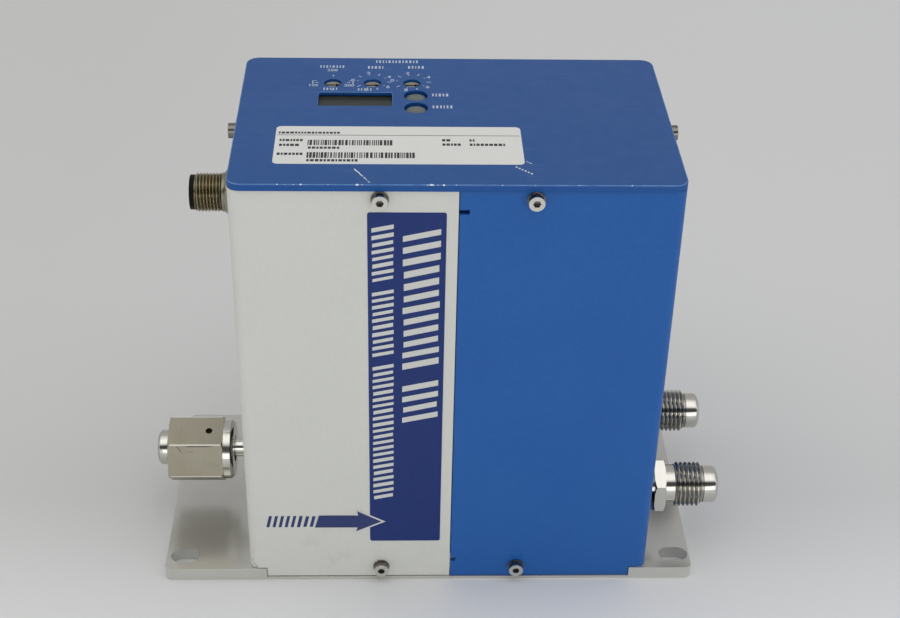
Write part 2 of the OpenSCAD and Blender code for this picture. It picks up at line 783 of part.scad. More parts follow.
// One U-shaped cover between two stations across the housing
module cover_blank(x0, x1) {
    intersection() {
        union() {
            translate([0, 0, cover_z0]) linear_extrude(cover_z1 - cover_z0) sheet_plan();
            // Lower edges of the front and rear lap over the plate, between the corner reliefs
            translate([0, 0, tongue_z]) linear_extrude(cover_z0 - tongue_z + 1) intersection() {
                sheet_plan();
                square([2 * tongue_half, housing_d], center = true);
            }
        }
        translate([x0, -housing_d, 0]) cube([x1 - x0, 2 * housing_d, overall_h]);
    }
}

module cover_screw_holes() {
    at_screw_seats() translate([0, -1, 0]) rotate([-90, 0, 0])
        cylinder(h = sheet_t + 1.5, d = cover_hole_d);
}

module left_cover() color("gainsboro") difference() {
    cover_blank(-housing_w, seam_x - seam_gap / 2);
    cover_screw_holes();
    rod_x(-side_x - 1, 1 + sheet_t - side_x, inlet_y, port_z, inlet_hole_d);
    rod_x(-side_x - 1, 1 + sheet_t - side_x, connector_y, connector_z, connector_d + 0.4);
}

module right_cover() color("royalblue") difference() {
    union() {
        cover_blank(seam_x + seam_gap / 2, housing_w);
        // Strip welded behind the seam, front and rear
        for (side = [-1, 1]) translate([0, side * (inner_d - sheet_t) / 2, (lap_z0 + lap_z1) / 2]) {
            translate([seam_x, 0, 0]) cube([lap_w, sheet_t, lap_z1 - lap_z0], center = true);
            translate([seam_x + lap_w / 4 + seam_gap / 4, side * sheet_t / 4, 0])
                cube([(lap_w - seam_gap) / 2, 1.5 * sheet_t, lap_z1 - lap_z0], center = true);
        }
    }
    cover_screw_holes();
    for (y = leg_ys)
        rod_x(side_x - sheet_t - 1, side_x + 1, y, port_z, outlet_hole_d);
    // Relief notches in the seam's edge
    for (side = [-1, 1], notch = [[relief_w, lap_z1], [foot_relief_w, foot_relief_z]])
        translate([seam_x, side * inner_d / 2 - sheet_t - 0.5, notch[1]])
            cube([notch[0], 2 * sheet_t + 1, relief_h]);
}

module lid() color("royalblue") difference() {
    union() {
        translate([0, 0, lid_z0])
            slab(housing_w + 2 * lid_over_side, housing_d + 2 * lid_over, lid_t, lid_r);
        translate([0, 0, rim_z0]) difference() {
            slab(rim_w, rim_d, rim_h + 1, bend_r - sheet_t);
            translate([0, 0, -1]) slab(rim_w - 2 * rim_t, rim_d - 2 * rim_t, rim_h + 1, 2);
        }
    }
    cover_screw_bores();
    translate([display_x, display_y, lid_z0 - 1]) {
        slab(window_w, window_d, lid_t + 2, 0.8);
        slab(window_w + 2 * pocket_margin, window_d + 2 * pocket_margin, pocket_depth + 1, 1);
    }
    for (y = indicator_ys)
        translate([indicator_x, y, lid_z0 - 1]) cylinder(h = lid_t + 2, d = indicator_hole_d);
    for (x = switch_xs)
        translate([x, switch_y, lid_z0 - 1]) cylinder(h = lid_t + 2, d = rotor_d + 2 * switch_gap);
}

module cover_screws() color("darkgray") at_screw_seats() rotate([90, 0, 0]) difference() {
    union() {
        translate([0, 0, washer_t]) cylinder(h = head_h, d = head_d);
        translate([0, 0, -shank_l]) cylinder(h = shank_l + washer_t + 0.5, d = shank_d);
    }
    translate([0, 0, washer_t + head_h - head_socket_depth])
        cylinder(h = 2, d = head_socket / cos(30), $fn = 6);
}

module lock_washers() color("dimgray") at_screw_seats() rotate([90, 0, 0]) difference() {
    cylinder(h = washer_t, d = washer_d);
    translate([0, 0, -1]) cylinder(h = washer_t + 2, d = shank_d + 0.2);
    rotate([0, 0, washer_split_turn]) translate([0, -washer_split / 2, -1])
        cube([washer_d, washer_split, washer_t + 2]);
}

// Connector in the left cover

module connector_shell() color("goldenrod") difference() {
    union() {
        rod_x(connector_tip_x, connector_tail - side_x, connector_y, connector_z, connector_d);
        intersection() {
            hex_x(connector_hex_x, -side_x - seal_t, connector_y, connector_z, connector_af,
                  connector_turn);
            turned_x(connector_y, connector_z, [
                [0, connector_hex_x],
                [connector_af / 2 - 0.4, connector_hex_x],
                [connector_af / 2 + 1.3, connector_hex_x + 1],
                [connector_af / 2 + 1.3, -side_x - seal_t],
                [0, -side_x - seal_t]]);
        }
    }
    rod_x(connector_tip_x - 1, connector_tail + 1 - side_x, connector_y, connector_z, connector_bore_d);
}

module connector_seal() color("black") difference() {
    rod_x(-side_x - seal_t, -side_x, connector_y, connector_z, connector_seal_d);
    rod_x(-side_x - seal_t - 1, 1 - side_x, connector_y, connector_z, connector_d + 0.1);
}

module connector_insert() color("black") difference() {
    union() {
        rod_x(connector_tip_x - insert_lip_l, connector_tip_x, connector_y, connector_z, insert_lip_d);
        rod_x(connector_tip_x - 0.5, connector_tail - side_x, connector_y, connector_z,
              connector_bore_d - 2 * screw_play);
    }
    difference() {
        rod_x(connector_tip_x - insert_lip_l - 1, connector_tip_x - insert_lip_l + socket_l,
              connector_y, connector_z, socket_d);
        // Key that sets the way round of the plug
        translate([connector_tip_x - insert_lip_l, connector_y - key_w / 2, connector_z + socket_d / 2 - 0.8])
            cube([socket_l + 1, key_w, 2]);
    }
    connector_pin_solids(screw_play);
}

module connector_pin_solids(grow) {
    pin_root = connector_tip_x - insert_lip_l + socket_l;
    for (i = [0 : pin_count])
        translate([0, connector_y, connector_z]) rotate([45 + i * 90, 0, 0])
            rod_x(pin_root - pin_l, pin_root + pin_l + grow, 0, i < pin_count ? pin_circle_r : 0,
                  pin_d + 2 * grow);
}

module connector_pins() color("gold") connector_pin_solids(0);

module connector_nut() color("silver") difference() {
    hex_x(sheet_t - side_x, sheet_t + connector_nut_t - side_x, connector_y, connector_z,
          connector_nut_af, 0);
    rod_x(-side_x, 1 + sheet_t + connector_nut_t - side_x, connector_y, connector_z,
          connector_d + 2 * screw_play);
}

// Display board and controls

module interface_board() color("darkgreen") difference() {
    translate([interface_x - interface_w / 2, interface_y - interface_d / 2, interface_top - board_t])
        cube([interface_w, interface_d, board_t]);
    for (c = interface_corners)
        translate([c[0], c[1], interface_top - board_t - 1])
            cylinder(h = board_t + 2, d = standoff_hole_d + 0.2);
}

module lid_standoffs() color("silver") for (c = interface_corners)
    translate([c[0], c[1], interface_top]) difference() {
        cylinder(h = board_drop, d = standoff_d);
        translate([0, 0, -1]) cylinder(h = board_drop - 1, d = standoff_hole_d + 2 * screw_play);
    }

module display_module() color("darkolivegreen")
    translate([display_x, display_y, interface_top])
        slab(window_w + 2 * display_margin, window_d + 2 * display_margin, display_top - interface_top, 0.6);

// A clear post from the board's lamp to the lid, with a domed end
module indicator_lens(y) color("gray") translate([indicator_x, y, 0]) rotate_extrude() polygon(concat(
    [[0, interface_top], [lens_r, interface_top], [lens_r, lens_rim_z]],
    [for (a = [10 : 10 : 90]) [lens_r * cos(a), lens_rim_z + lens_dome * sin(a)]]));

module switch_case(x) color("dimgray") translate([x, switch_y, interface_top]) difference() {
    slab(switch_w, switch_w, switch_case_top - interface_top, 0.5);
    translate([0, 0, switch_case_top - interface_top - rotor_well])
        cylinder(h = rotor_well + 1, d = rotor_d + 2 * joint_play);
}

module switch_rotor(x) color("burlywood")
    translate([x, switch_y, switch_case_top - rotor_well + joint_play]) difference() {
        cylinder(h = rotor_h, d = rotor_d);
        translate([-rotor_d, -rotor_slot_w / 2, rotor_h - rotor_slot_depth])
            cube([2 * rotor_d, rotor_slot_w, rotor_slot_depth + 1]);
        // Arrow end of the slot, so that the setting can be read
        translate([rotor_d / 2 - 0.9, 0, rotor_h - rotor_slot_depth])
            cylinder(h = rotor_slot_depth + 1, d = 2.2, $fn = 3);
    }

// Main board behind the manifold

module board_bracket() color("silver") {
    translate([-bracket_w / 2, bracket_y1 - bracket_t, pad_top])
        cube([bracket_w, bracket_t, bracket_top - pad_top]);
    translate([-bracket_w / 2, bracket_y1 - bracket_foot, pad_top])
        cube([bracket_w, bracket_foot, bracket_t]);
}

module bracket_standoffs() color("silver") for (c = main_corners)
    translate([c[0], bracket_y1 - bracket_t, c[1]]) rotate([90, 0, 0]) difference() {
        cylinder(h = main_standoff_l, d = standoff_d);
        translate([0, 0, 1]) cylinder(h = main_standoff_l, d = standoff_hole_d + 2 * screw_play);
    }

// The board with what is soldered to it: chips, capacitors and a header
module main_board() color("green") difference() {
    translate([0, main_board_y, 0]) union() {
        translate([-main_board_w / 2, 0, main_board_z0])
            cube([main_board_w, board_t, main_board_z1 - main_board_z0]);
        for (chip = main_chips)
            translate([chip[0], -chip[4], main_board_z1 + chip[1]])
                cube([chip[2], chip[4] + board_t / 2, chip[3]]);
        for (x = capacitor_xs)
            translate([x, board_t / 2, main_board_z1 - capacitor_drop]) rotate([90, 0, 0])
                cylinder(h = capacitor_l + board_t / 2, d = capacitor_d);
        translate([ribbon_x - ribbon_w / 2 - 1, -header_h, main_board_z1 - header_drop])
            cube([ribbon_w + 2, header_h + board_t / 2, header_z]);
    }
    for (c = main_corners)
        translate([c[0], main_board_y - 1, c[1]]) rotate([-90, 0, 0])
            cylinder(h = board_t + 2, d = standoff_hole_d + 0.2);
}

module pan_screw(l) {
    cylinder(h = pan_head_h, d = standoff_d);
    translate([0, 0, -l]) cylinder(h = l + 0.5, d = standoff_hole_d);
}

module board_screws() color("silver") {
    for (c = interface_corners)
        translate([c[0], c[1], interface_top - board_t]) rotate([180, 0, 0]) pan_screw(board_t + 4);
    for (c = main_corners)
        translate([c[0], main_board_y, c[1]]) rotate([90, 0, 0]) pan_screw(board_t + main_standoff_l - 1.5);
}

// Flat cable from the main board's header up to the underside of the display board
module ribbon_cable() color("gray") {
    top = interface_top - board_t;
    foot = main_board_z1 - header_drop + header_z;
    out = main_board_y - header_h / 2;
    translate([ribbon_x - ribbon_w / 2, out - ribbon_t / 2, foot])
        cube([ribbon_w, ribbon_t, top - foot]);
}

// Sleeved wires from the connector round to the main board
module connector_lead() color("black") {
    x0 = connector_tail - side_x;
    bend_x = x0 + 4;
    rod_x(x0, bend_x, connector_y, connector_z, lead_d);
    translate([bend_x, connector_y + lead_bend_r, connector_z]) rotate([0, 0, -90])
        rotate_extrude(angle = 90) translate([lead_bend_r, 0]) circle(d = lead_d);
    translate([bend_x + lead_bend_r, connector_y + lead_bend_r, connector_z]) rotate([-90, 0, 0])
        cylinder(h = main_board_y - connector_y - lead_bend_r, d = lead_d);
}

// Printed pieces

module top_label() color("white")
    translate([label_x, label_y, overall_h]) slab(label_w, label_d, film_t, label_r);

module front_banner() color("midnightblue")
    translate([banner_x, front_y, banner_z]) rotate([90, 0, 0]) slab(banner_w, banner_h, film_t, banner_r);

base_plate();
block_screws();
manifold_block();
bypass_element(leg_front_y);  // bypass_element_front
bypass_element(leg_rear_y);  // bypass_element_rear
bypass_plugs();
gallery_plug();
sensor(leg_front_y);  // sensor_front
sensor(leg_rear_y);  // sensor_rear
valve_core(leg_front_y);  // valve_core_front
valve_core(leg_rear_y);  // valve_core_rear
valve_plunger(leg_front_y);  // valve_plunger_front
valve_plunger(leg_rear_y);  // valve_plunger_rear
valve_coil(leg_front_y);  // valve_coil_front
valve_coil(leg_rear_y);  // valve_coil_rear
valve_nuts();
manifold_screws();
port_seals();
inlet_fitting();
inlet_nut();
outlet_fitting(leg_front_y, outlet_front_turn);  // outlet_fitting_front
outlet_fitting(leg_rear_y, outlet_rear_turn);  // outlet_fitting_rear
left_cover();
right_cover();
lid();
cover_screws();
lock_washers();
connector_shell();
connector_seal();
connector_insert();
connector_pins();
connector_nut();
interface_board();
lid_standoffs();
display_module();
indicator_lens(indicator_ys[0]);  // indicator_lens_front
indicator_lens(indicator_ys[1]);  // indicator_lens_rear
switch_case(switch_xs[0]);  // switch_case_left
switch_case(switch_xs[1]);  // switch_case_middle
switch_case(switch_xs[2]);  // switch_case_right
switch_rotor(switch_xs[0]);  // switch_rotor_left
switch_rotor(switch_xs[1]);  // switch_rotor_middle
switch_rotor(switch_xs[2]);  // switch_rotor_right
board_bracket();
bracket_standoffs();
main_board();
board_screws();
ribbon_cable();
connector_lead();
top_label();
front_banner();
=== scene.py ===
import json
import math
import random

import bmesh
import bpy
from mathutils import Matrix, Vector

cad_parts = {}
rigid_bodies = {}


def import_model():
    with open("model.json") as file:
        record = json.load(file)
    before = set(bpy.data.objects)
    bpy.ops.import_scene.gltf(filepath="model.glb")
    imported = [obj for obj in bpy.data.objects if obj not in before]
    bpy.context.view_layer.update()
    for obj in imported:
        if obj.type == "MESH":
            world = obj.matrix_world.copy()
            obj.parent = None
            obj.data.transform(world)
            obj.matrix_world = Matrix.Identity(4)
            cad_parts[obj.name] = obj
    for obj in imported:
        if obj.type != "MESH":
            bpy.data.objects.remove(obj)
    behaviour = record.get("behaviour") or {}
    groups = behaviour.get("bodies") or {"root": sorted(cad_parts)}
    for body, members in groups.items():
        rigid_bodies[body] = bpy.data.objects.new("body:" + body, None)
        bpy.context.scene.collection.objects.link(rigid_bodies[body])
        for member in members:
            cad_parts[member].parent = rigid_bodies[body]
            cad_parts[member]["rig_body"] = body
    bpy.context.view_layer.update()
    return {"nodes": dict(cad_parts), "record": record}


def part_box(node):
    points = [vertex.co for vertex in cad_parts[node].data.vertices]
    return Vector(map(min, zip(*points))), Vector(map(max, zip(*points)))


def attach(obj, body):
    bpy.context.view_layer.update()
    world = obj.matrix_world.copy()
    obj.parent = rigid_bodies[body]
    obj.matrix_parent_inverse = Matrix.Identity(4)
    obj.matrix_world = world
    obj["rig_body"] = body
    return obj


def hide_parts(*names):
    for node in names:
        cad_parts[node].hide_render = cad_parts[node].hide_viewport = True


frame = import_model()
scene = bpy.context.scene
MM = 0.001
X, Y, Z = (1, 0, 0), (0, 1, 0), (0, 0, 1)


def box_of(node):
    """Lowest and highest corner of a CAD node, in millimetres."""
    low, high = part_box(node)
    return low / MM, high / MM


def middle_of(node):
    """Middle of a CAD node's box, in millimetres."""
    low, high = box_of(node)
    return (low + high) / 2


# Places on the object, in millimetres: the lid's top and front edge, the covers' front face
LID_TOP = box_of("lid")[1].z
LID_FRONT = box_of("lid")[0].y
FRONT = box_of("left_cover")[0].y
# Axes of the threaded parts, as y and z
NUT_AXIS = tuple(middle_of("inlet_nut"))[1:]
CONNECTOR_AXIS = tuple(middle_of("connector_shell"))[1:]
# The three switches, as x and y
SWITCHES = [tuple(middle_of("switch_case_" + place))[:2] for place in ("left", "middle", "right")]
# The white cover's bend at its front left corner: its outer radius, and the x where it starts
BEND_RADIUS = 3.0
BEND_START = box_of("left_cover")[0].x + BEND_RADIUS
# How far print and marks stand off what they lie on, and how far the finer ones do, so that no two
# faces coincide
PRINT = 0.02
SHEER = 0.012
# Thickness of the label and the banner
FILM = 0.10


# Camera, at the place the photograph was taken from

PHOTO_WIDTH = 900
SENSOR_MM = 36


def place_camera(focal_px, place_mm, pitch, yaw, roll):
    """A level camera turned by yaw to the right, by pitch down and by roll clockwise, in degrees.
    focal_px is the focal length in pixels of the photograph."""
    pitch, yaw, roll = (math.radians(a) for a in (pitch, yaw, roll))
    ahead = Vector((math.sin(yaw) * math.cos(pitch), math.cos(yaw) * math.cos(pitch), -math.sin(pitch)))
    right = Vector((math.cos(yaw), -math.sin(yaw), 0))
    up = right.cross(ahead)
    across = right * math.cos(roll) + up * math.sin(roll)
    upward = up * math.cos(roll) - right * math.sin(roll)
    data = bpy.data.cameras.new("camera")
    data.sensor_width = SENSOR_MM
    data.lens = focal_px * SENSOR_MM / PHOTO_WIDTH
    data.clip_start, data.clip_end = 0.01, 20
    camera = bpy.data.objects.new("camera", data)
    turn = Matrix((across, upward, -ahead)).transposed().to_4x4()
    camera.matrix_world = Matrix.Translation(Vector(place_mm) * MM) @ turn
    scene.collection.objects.link(camera)
    scene.camera = camera


place_camera(1606.67, (-17.50, -422.38, 359.43), 33.711, 2.391, 1.399)


# Materials

def linear(red, green, blue):
    """Scene colour of an sRGB colour in 0 to 255."""
    def one(c):
        c /= 255
        return c / 12.92 if c <= 0.04045 else ((c + 0.055) / 1.055) ** 2.4
    return one(red), one(green), one(blue), 1.0


class Surface:
    """A Principled material with procedural colour, roughness and relief in object space, in millimetres."""

    def __init__(self, name, colour, rough, metal=0.0, **sockets):
        self.material = bpy.data.materials.new(name)
        self.material.use_nodes = True
        self.tree = self.material.node_tree
        self.shader = self.tree.nodes["Principled BSDF"]
        self.shader.inputs["Base Color"].default_value = colour
        self.shader.inputs["Roughness"].default_value = rough
        self.shader.inputs["Metallic"].default_value = metal
        for socket, value in sockets.items():
            self.shader.inputs[socket.replace("_", " ")].default_value = value
        self.coords = self.tree.nodes.new("ShaderNodeTexCoord").outputs["Object"]
        self.relief = None

    def node(self, kind, **values):
        made = self.tree.nodes.new(kind)
        for key, value in values.items():
            setattr(made, key, value)
        return made

    def join(self, source, target):
        self.tree.links.new(source, target)

    def noise(self, size_mm, detail=2.0, shift=0.0):
        """Noise whose grains are about size_mm across, one number or one for each axis."""
        sizes = size_mm if isinstance(size_mm, tuple) else (size_mm,) * 3
        mapping = self.node("ShaderNodeMapping")
        mapping.inputs["Scale"].default_value = [1 / (s * MM) for s in sizes]
        mapping.inputs["Location"].default_value = (shift, shift, shift)
        texture = self.node("ShaderNodeTexNoise")
        texture.inputs["Scale"].default_value = 1.0
        texture.inputs["Detail"].default_value = detail
        self.join(self.coords, mapping.inputs["Vector"])
        self.join(mapping.outputs["Vector"], texture.inputs["Vector"])
        return texture.outputs["Fac"]

    def axis(self, name):
        """The coordinate along an axis of the object, in metres."""
        parts = self.node("ShaderNodeSeparateXYZ")
        self.join(self.coords, parts.inputs["Vector"])
        return parts.outputs[name]

    def facing(self, name):
        """How far the surface faces along an axis of the object."""
        parts = self.node("ShaderNodeSeparateXYZ")
        self.join(self.node("ShaderNodeTexCoord").outputs["Normal"], parts.inputs["Vector"])
        return parts.outputs[name]

    def reach(self, y_mm, z_mm):
        """Distance in metres from an axis along X."""
        flat = self.node("ShaderNodeVectorMath", operation="MULTIPLY")
        flat.inputs[1].default_value = (0, 1, 1)
        self.join(self.coords, flat.inputs[0])
        far = self.node("ShaderNodeVectorMath", operation="DISTANCE")
        far.inputs[1].default_value = (0, y_mm * MM, z_mm * MM)
        self.join(flat.outputs["Vector"], far.inputs[0])
        return far.outputs["Value"]

    def spread(self, value, low, high, to_low=0.0, to_high=1.0):
        """value carried from low..high to to_low..to_high, and no further."""
        ranged = self.node("ShaderNodeMapRange")
        for socket, number in (("From Min", low), ("From Max", high),
                               ("To Min", to_low), ("To Max", to_high)):
            ranged.inputs[socket].default_value = number
        self.join(value, ranged.inputs["Value"])
        return ranged.outputs["Result"]

    def times(self, a, b):
        product = self.node("ShaderNodeMath", operation="MULTIPLY")
        self.join(a, product.inputs[0])
        self.join(b, product.inputs[1])
        return product.outputs["Value"]

    def tint(self, mask, colour):
        """Mixes the colour so far towards another where mask is 1."""
        mix = self.node("ShaderNodeMix", data_type="RGBA")
        base = self.shader.inputs["Base Color"]
        if base.links:
            self.join(base.links[0].from_socket, mix.inputs[6])
        else:
            mix.inputs[6].default_value = base.default_value
        mix.inputs[7].default_value = colour
        self.join(mask, mix.inputs[0])
        self.join(mix.outputs[2], base)

    def roughness(self, mask, low, high):
        self.join(self.spread(mask, 0.3, 0.7, low, high), self.shader.inputs["Roughness"])

    def gloss(self, mask, factor):
        """Multiplies the roughness by factor where mask is 1."""
        rough = self.shader.inputs["Roughness"]
        self.join(self.times(rough.links[0].from_socket, self.spread(mask, 0, 1, 1, factor)), rough)

    def bump(self, height, depth_mm):
        """Relief of a depth in millimetres, on top of the relief that is there."""
        bump = self.node("ShaderNodeBump")
        bump.inputs["Strength"].default_value = 1.0
        bump.inputs["Distance"].default_value = depth_mm * MM
        self.join(height, bump.inputs["Height"])
        if self.relief:
            self.join(self.relief, bump.inputs["Normal"])
        self.relief = bump.outputs["Normal"]
        self.join(self.relief, self.shader.inputs["Normal"])


def powder_coat(name, colour, deep, light, rough, peel):
    """Baked powder: fine orange peel of a depth in millimetres, faint mottling and a slow drift in tone."""
    made = Surface(name, colour, rough, Specular_IOR_Level=0.3)
    made.tint(made.spread(made.noise(1.1, 3), 0.38, 0.62, 0, 0.5), deep)
    made.tint(made.spread(made.noise(34, 1), 0.35, 0.7, 0, 0.35), light)
    made.bump(made.noise(0.55, 2), peel)
    made.roughness(made.noise(6, 2), rough - 0.04, rough + 0.05)
    return made


def grained_metal(name, colour, dark, rough, grain, depth, stain=None):
    """Brushed or turned metal: grain gives the size of the marks along each axis."""
    made = Surface(name, colour, rough, 1.0)
    lines = made.noise(grain, 3)
    made.tint(made.spread(lines, 0.3, 0.75, 0, 0.6), dark)
    if stain:
        made.tint(made.spread(made.noise(7, 4), 0.5, 0.75, 0, 0.55), stain)
    made.bump(lines, depth)
    made.roughness(made.noise(grain, 3, 5), rough - 0.06, rough + 0.08)
    return made


def plain_plastic(name, colour, other, rough, size=1.5, depth=0.01):
    """Moulded plastic that drifts between two tones. size and depth are of its grain, in millimetres."""
    made = Surface(name, colour, rough)
    made.tint(made.spread(made.noise(size * 2, 3), 0.35, 0.7, 0, 0.5), other)
    made.bump(made.noise(size * 0.3, 2), depth)
    made.roughness(made.noise(size * 4, 2), rough - 0.05, rough + 0.07)
    return made


def build_materials():
    made = {}

    white = powder_coat("white powder coat", linear(212, 213, 207), linear(207, 208, 202),
                        linear(215, 215, 210), 0.42, 0.010)
    # Patchy darker tone on the white cover, strongest near its bottom
    low_darkening = white.times(white.spread(white.noise(9, 4), 0.6, 0.75, 0, 0.35),
                         white.spread(white.axis("Z"), 0.03, 0.005, 0, 1))
    white.tint(low_darkening, linear(168, 168, 158))
    made["white_paint"] = white
    made["blue_paint"] = powder_coat("blue powder coat", linear(27, 92, 167), linear(20, 83, 158),
                                     linear(33, 97, 170), 0.40, 0.012)

    lid = powder_coat("blue powder coat of the lid", linear(34, 82, 146), linear(28, 75, 138),
                      linear(39, 87, 150), 0.40, 0.010)
    scuffs = lid.spread(lid.noise((14, 0.35, 4), 3), 0.66, 0.72, 0, 0.25)
    lid.tint(scuffs, linear(120, 140, 170))
    # Painted light: the upright faces are tinted a more saturated blue than the top, the same paint lit
    # differently
    lid.tint(lid.spread(lid.facing("Z"), 0.35, 0.15), linear(16, 78, 148))
    # The rounded edge between the top and the upright faces is tinted pale: partly wear, partly a painted
    # highlight
    rim = lid.times(lid.spread(lid.facing("Z"), 0.45, 0.62), lid.spread(lid.facing("Z"), 0.95, 0.85))
    lid.tint(lid.times(rim, lid.spread(lid.noise(5, 3), 0.35, 0.6, 0.35, 0.85)), linear(104, 146, 202))
    made["blue_paint_lid"] = lid
    # The plate is satin, its brushing almost too fine to see
    plate = Surface("satin aluminium plate", (0.645, 0.64, 0.61, 1), 0.24, 0.75)
    plate.tint(plate.spread(plate.noise((30, 0.5, 0.5), 3), 0.35, 0.75, 0, 0.2), (0.61, 0.605, 0.575, 1))
    plate.tint(plate.spread(plate.noise(7, 4), 0.5, 0.75, 0, 0.55), (0.61, 0.60, 0.545, 1))
    plate.roughness(plate.noise(9, 3), 0.21, 0.27)
    made["plate_aluminium"] = plate

    # Metals
    made["bracket_aluminium"] = grained_metal("plain aluminium sheet", (0.70, 0.70, 0.69, 1),
                                              (0.60, 0.60, 0.59, 1), 0.4, (12, 0.4, 0.2), 0.004)
    made["block_steel"] = grained_metal("milled steel", (0.55, 0.54, 0.53, 1), (0.44, 0.43, 0.42, 1),
                                        0.35, (0.3, 8, 8), 0.006)
    made["bright_steel"] = grained_metal("turned steel", (0.62, 0.605, 0.56, 1), (0.53, 0.515, 0.47, 1),
                                         0.13, (0.07, 9, 9), 0.002)
    nut = grained_metal("tarnished steel", (0.365, 0.34, 0.27, 1), (0.315, 0.29, 0.225, 1),
                        0.34, (0.5, 3, 3), 0.004, (0.30, 0.27, 0.19, 1))
    # The edges between the nut's flats carry a painted highlight, and the collar behind them is glossy
    nut.tint(nut.spread(nut.reach(*NUT_AXIS), 11.2 * MM, 11.3 * MM, 0, 0.8), (0.85, 0.83, 0.74, 1))
    collar = nut.spread(nut.axis("X"), -73.15 * MM, -73.05 * MM)
    nut.tint(collar, (0.60, 0.585, 0.53, 1))
    nut.gloss(collar, 0.45)
    made["nut_steel"] = nut
    screw = grained_metal("screw steel", (0.66, 0.65, 0.60, 1), (0.52, 0.50, 0.46, 1),
                          0.24, (0.3, 0.3, 0.3), 0.006)
    # Painted shade darkens the knurling and the sockets, behind the heads' faces
    screw.tint(screw.spread(screw.axis("Y"), -42.45 * MM, -42.2 * MM, 0, 0.8), (0.10, 0.085, 0.07, 1))
    made["screw_steel"] = screw
    made["zinc_steel"] = grained_metal("zinc plated steel", (0.62, 0.62, 0.60, 1), (0.52, 0.52, 0.48, 1),
                                       0.32, (0.6, 0.6, 0.6), 0.006)
    shell = grained_metal("dull nickel over brass", (0.40, 0.36, 0.25, 1), (0.31, 0.265, 0.155, 1),
                          0.28, (0.3, 2, 2), 0.005, (0.40, 0.31, 0.14, 1))
    # Its hexagon is greyer, and the thread's grooves are tinted dark brown
    shell.tint(shell.spread(shell.axis("X"), -70.2 * MM, -70.1 * MM, 0, 0.8), (0.28, 0.27, 0.215, 1))
    grooves = shell.spread(shell.reach(*CONNECTOR_AXIS), 5.9 * MM, 5.6 * MM, 0, 0.7)
    shell.tint(grooves, (0.10, 0.078, 0.048, 1))
    made["connector_nickel"] = shell
    made["pin_brass"] = grained_metal("gilt pins", (0.85, 0.66, 0.28, 1), (0.72, 0.54, 0.2, 1),
                                      0.22, (0.2, 1, 1), 0.002)

    # Plastics and rubber
    made["black_plastic"] = plain_plastic("black plastic", (0.003, 0.003, 0.002, 1),
                                          (0.006, 0.006, 0.005, 1), 0.5)
    made["black_plastic"].shader.inputs["Specular IOR Level"].default_value = 0.12
    made["seal_rubber"] = plain_plastic("rubber", (0.02, 0.02, 0.02, 1), (0.03, 0.03, 0.03, 1), 0.65)
    made["sensor_plastic"] = plain_plastic("sensor housing", (0.05, 0.055, 0.065, 1),
                                           (0.07, 0.075, 0.085, 1), 0.5)
    made["coil_plastic"] = plain_plastic("coil housing", (0.045, 0.045, 0.045, 1),
                                         (0.065, 0.062, 0.06, 1), 0.45)
    made["board_green"] = plain_plastic("circuit board", (0.015, 0.13, 0.055, 1),
                                        (0.03, 0.19, 0.09, 1), 0.3, 0.6)
    made["display_dark"] = plain_plastic("unlit display", (0.030, 0.034, 0.028, 1), (0.042, 0.046, 0.036, 1),
                                         0.25, 6, 0.001)
    made["display_dark"].shader.inputs["Specular IOR Level"].default_value = 0.25
    made["lens_grey"] = plain_plastic("diffuse lens", (0.13, 0.145, 0.145, 1), (0.105, 0.118, 0.12, 1),
                                      0.3, 2, 0.004)
    made["switch_dark"] = plain_plastic("switch case", (0.05, 0.055, 0.07, 1), (0.08, 0.08, 0.085, 1), 0.5)
    rotor = plain_plastic("switch rotor", (0.30, 0.28, 0.23, 1), (0.23, 0.205, 0.17, 1), 0.42, 0.7)
    # Painted shade darkens the slot's floor
    rotor.tint(rotor.spread(rotor.axis("Z"), 144.08 * MM, 143.98 * MM, 0, 0.9), (0.035, 0.022, 0.02, 1))
    made["rotor_tan"] = rotor
    ribbon = Surface("ribbon cable", (0.33, 0.33, 0.34, 1), 0.5)
    wires = ribbon.noise((0.5, 40, 40), 0)
    ribbon.tint(ribbon.spread(wires, 0.4, 0.6), (0.22, 0.22, 0.23, 1))
    ribbon.bump(wires, 0.1)
    made["ribbon_grey"] = ribbon

    # Printed films
    label = Surface("label film", linear(224, 225, 221), 0.32, Specular_IOR_Level=0.3)
    label.tint(label.spread(label.noise(5, 3), 0.4, 0.7, 0, 0.5), linear(220, 221, 217))
    label.bump(label.noise(1.5, 2), 0.003)
    made["label_white"] = label
    banner = Surface("printed film", linear(20, 47, 112), 0.36, Specular_IOR_Level=0.3)
    banner.tint(banner.spread(banner.noise(1.2, 3), 0.4, 0.65, 0, 0.5), linear(16, 41, 104))
    banner.bump(banner.noise(0.6, 2), 0.005)
    made["banner_navy"] = banner
    return {slot: surface.material for slot, surface in made.items()}


MATERIALS = build_materials()
SLOT_OF = {part["node"]: part["material_slot"] for part in frame["record"]["subparts"]}


def ink(name, colour, rough=0.45):
    """Screen-printed ink, with slightly uneven cover."""
    made = Surface(name, colour, rough)
    made.tint(made.spread(made.noise(0.5, 3), 0.45, 0.75, 0, 0.3), tuple(0.8 * c for c in colour[:3]) + (1,))
    made.bump(made.noise(0.4, 1), 0.002)
    return made.material


PALE_INK = ink("pale ink", linear(186, 196, 214))
WHITE_INK = ink("white ink", linear(208, 209, 205))
NAVY_INK = ink("navy ink", linear(28, 46, 104))
BLACK_INK = ink("black ink", linear(30, 30, 34))
BARE_METAL = ink("bare metal in a chip", linear(222, 226, 232), 0.5)
# Painted shade that stands for cuts at the foot of the white cover
CUT_SHADE = ink("painted shade in cuts", linear(70, 68, 62), 0.6)
# Dark marks below the nut's front edge
NUT_DARK_MARKS = ink("dark marks on the nut", linear(84, 72, 56), 0.5)


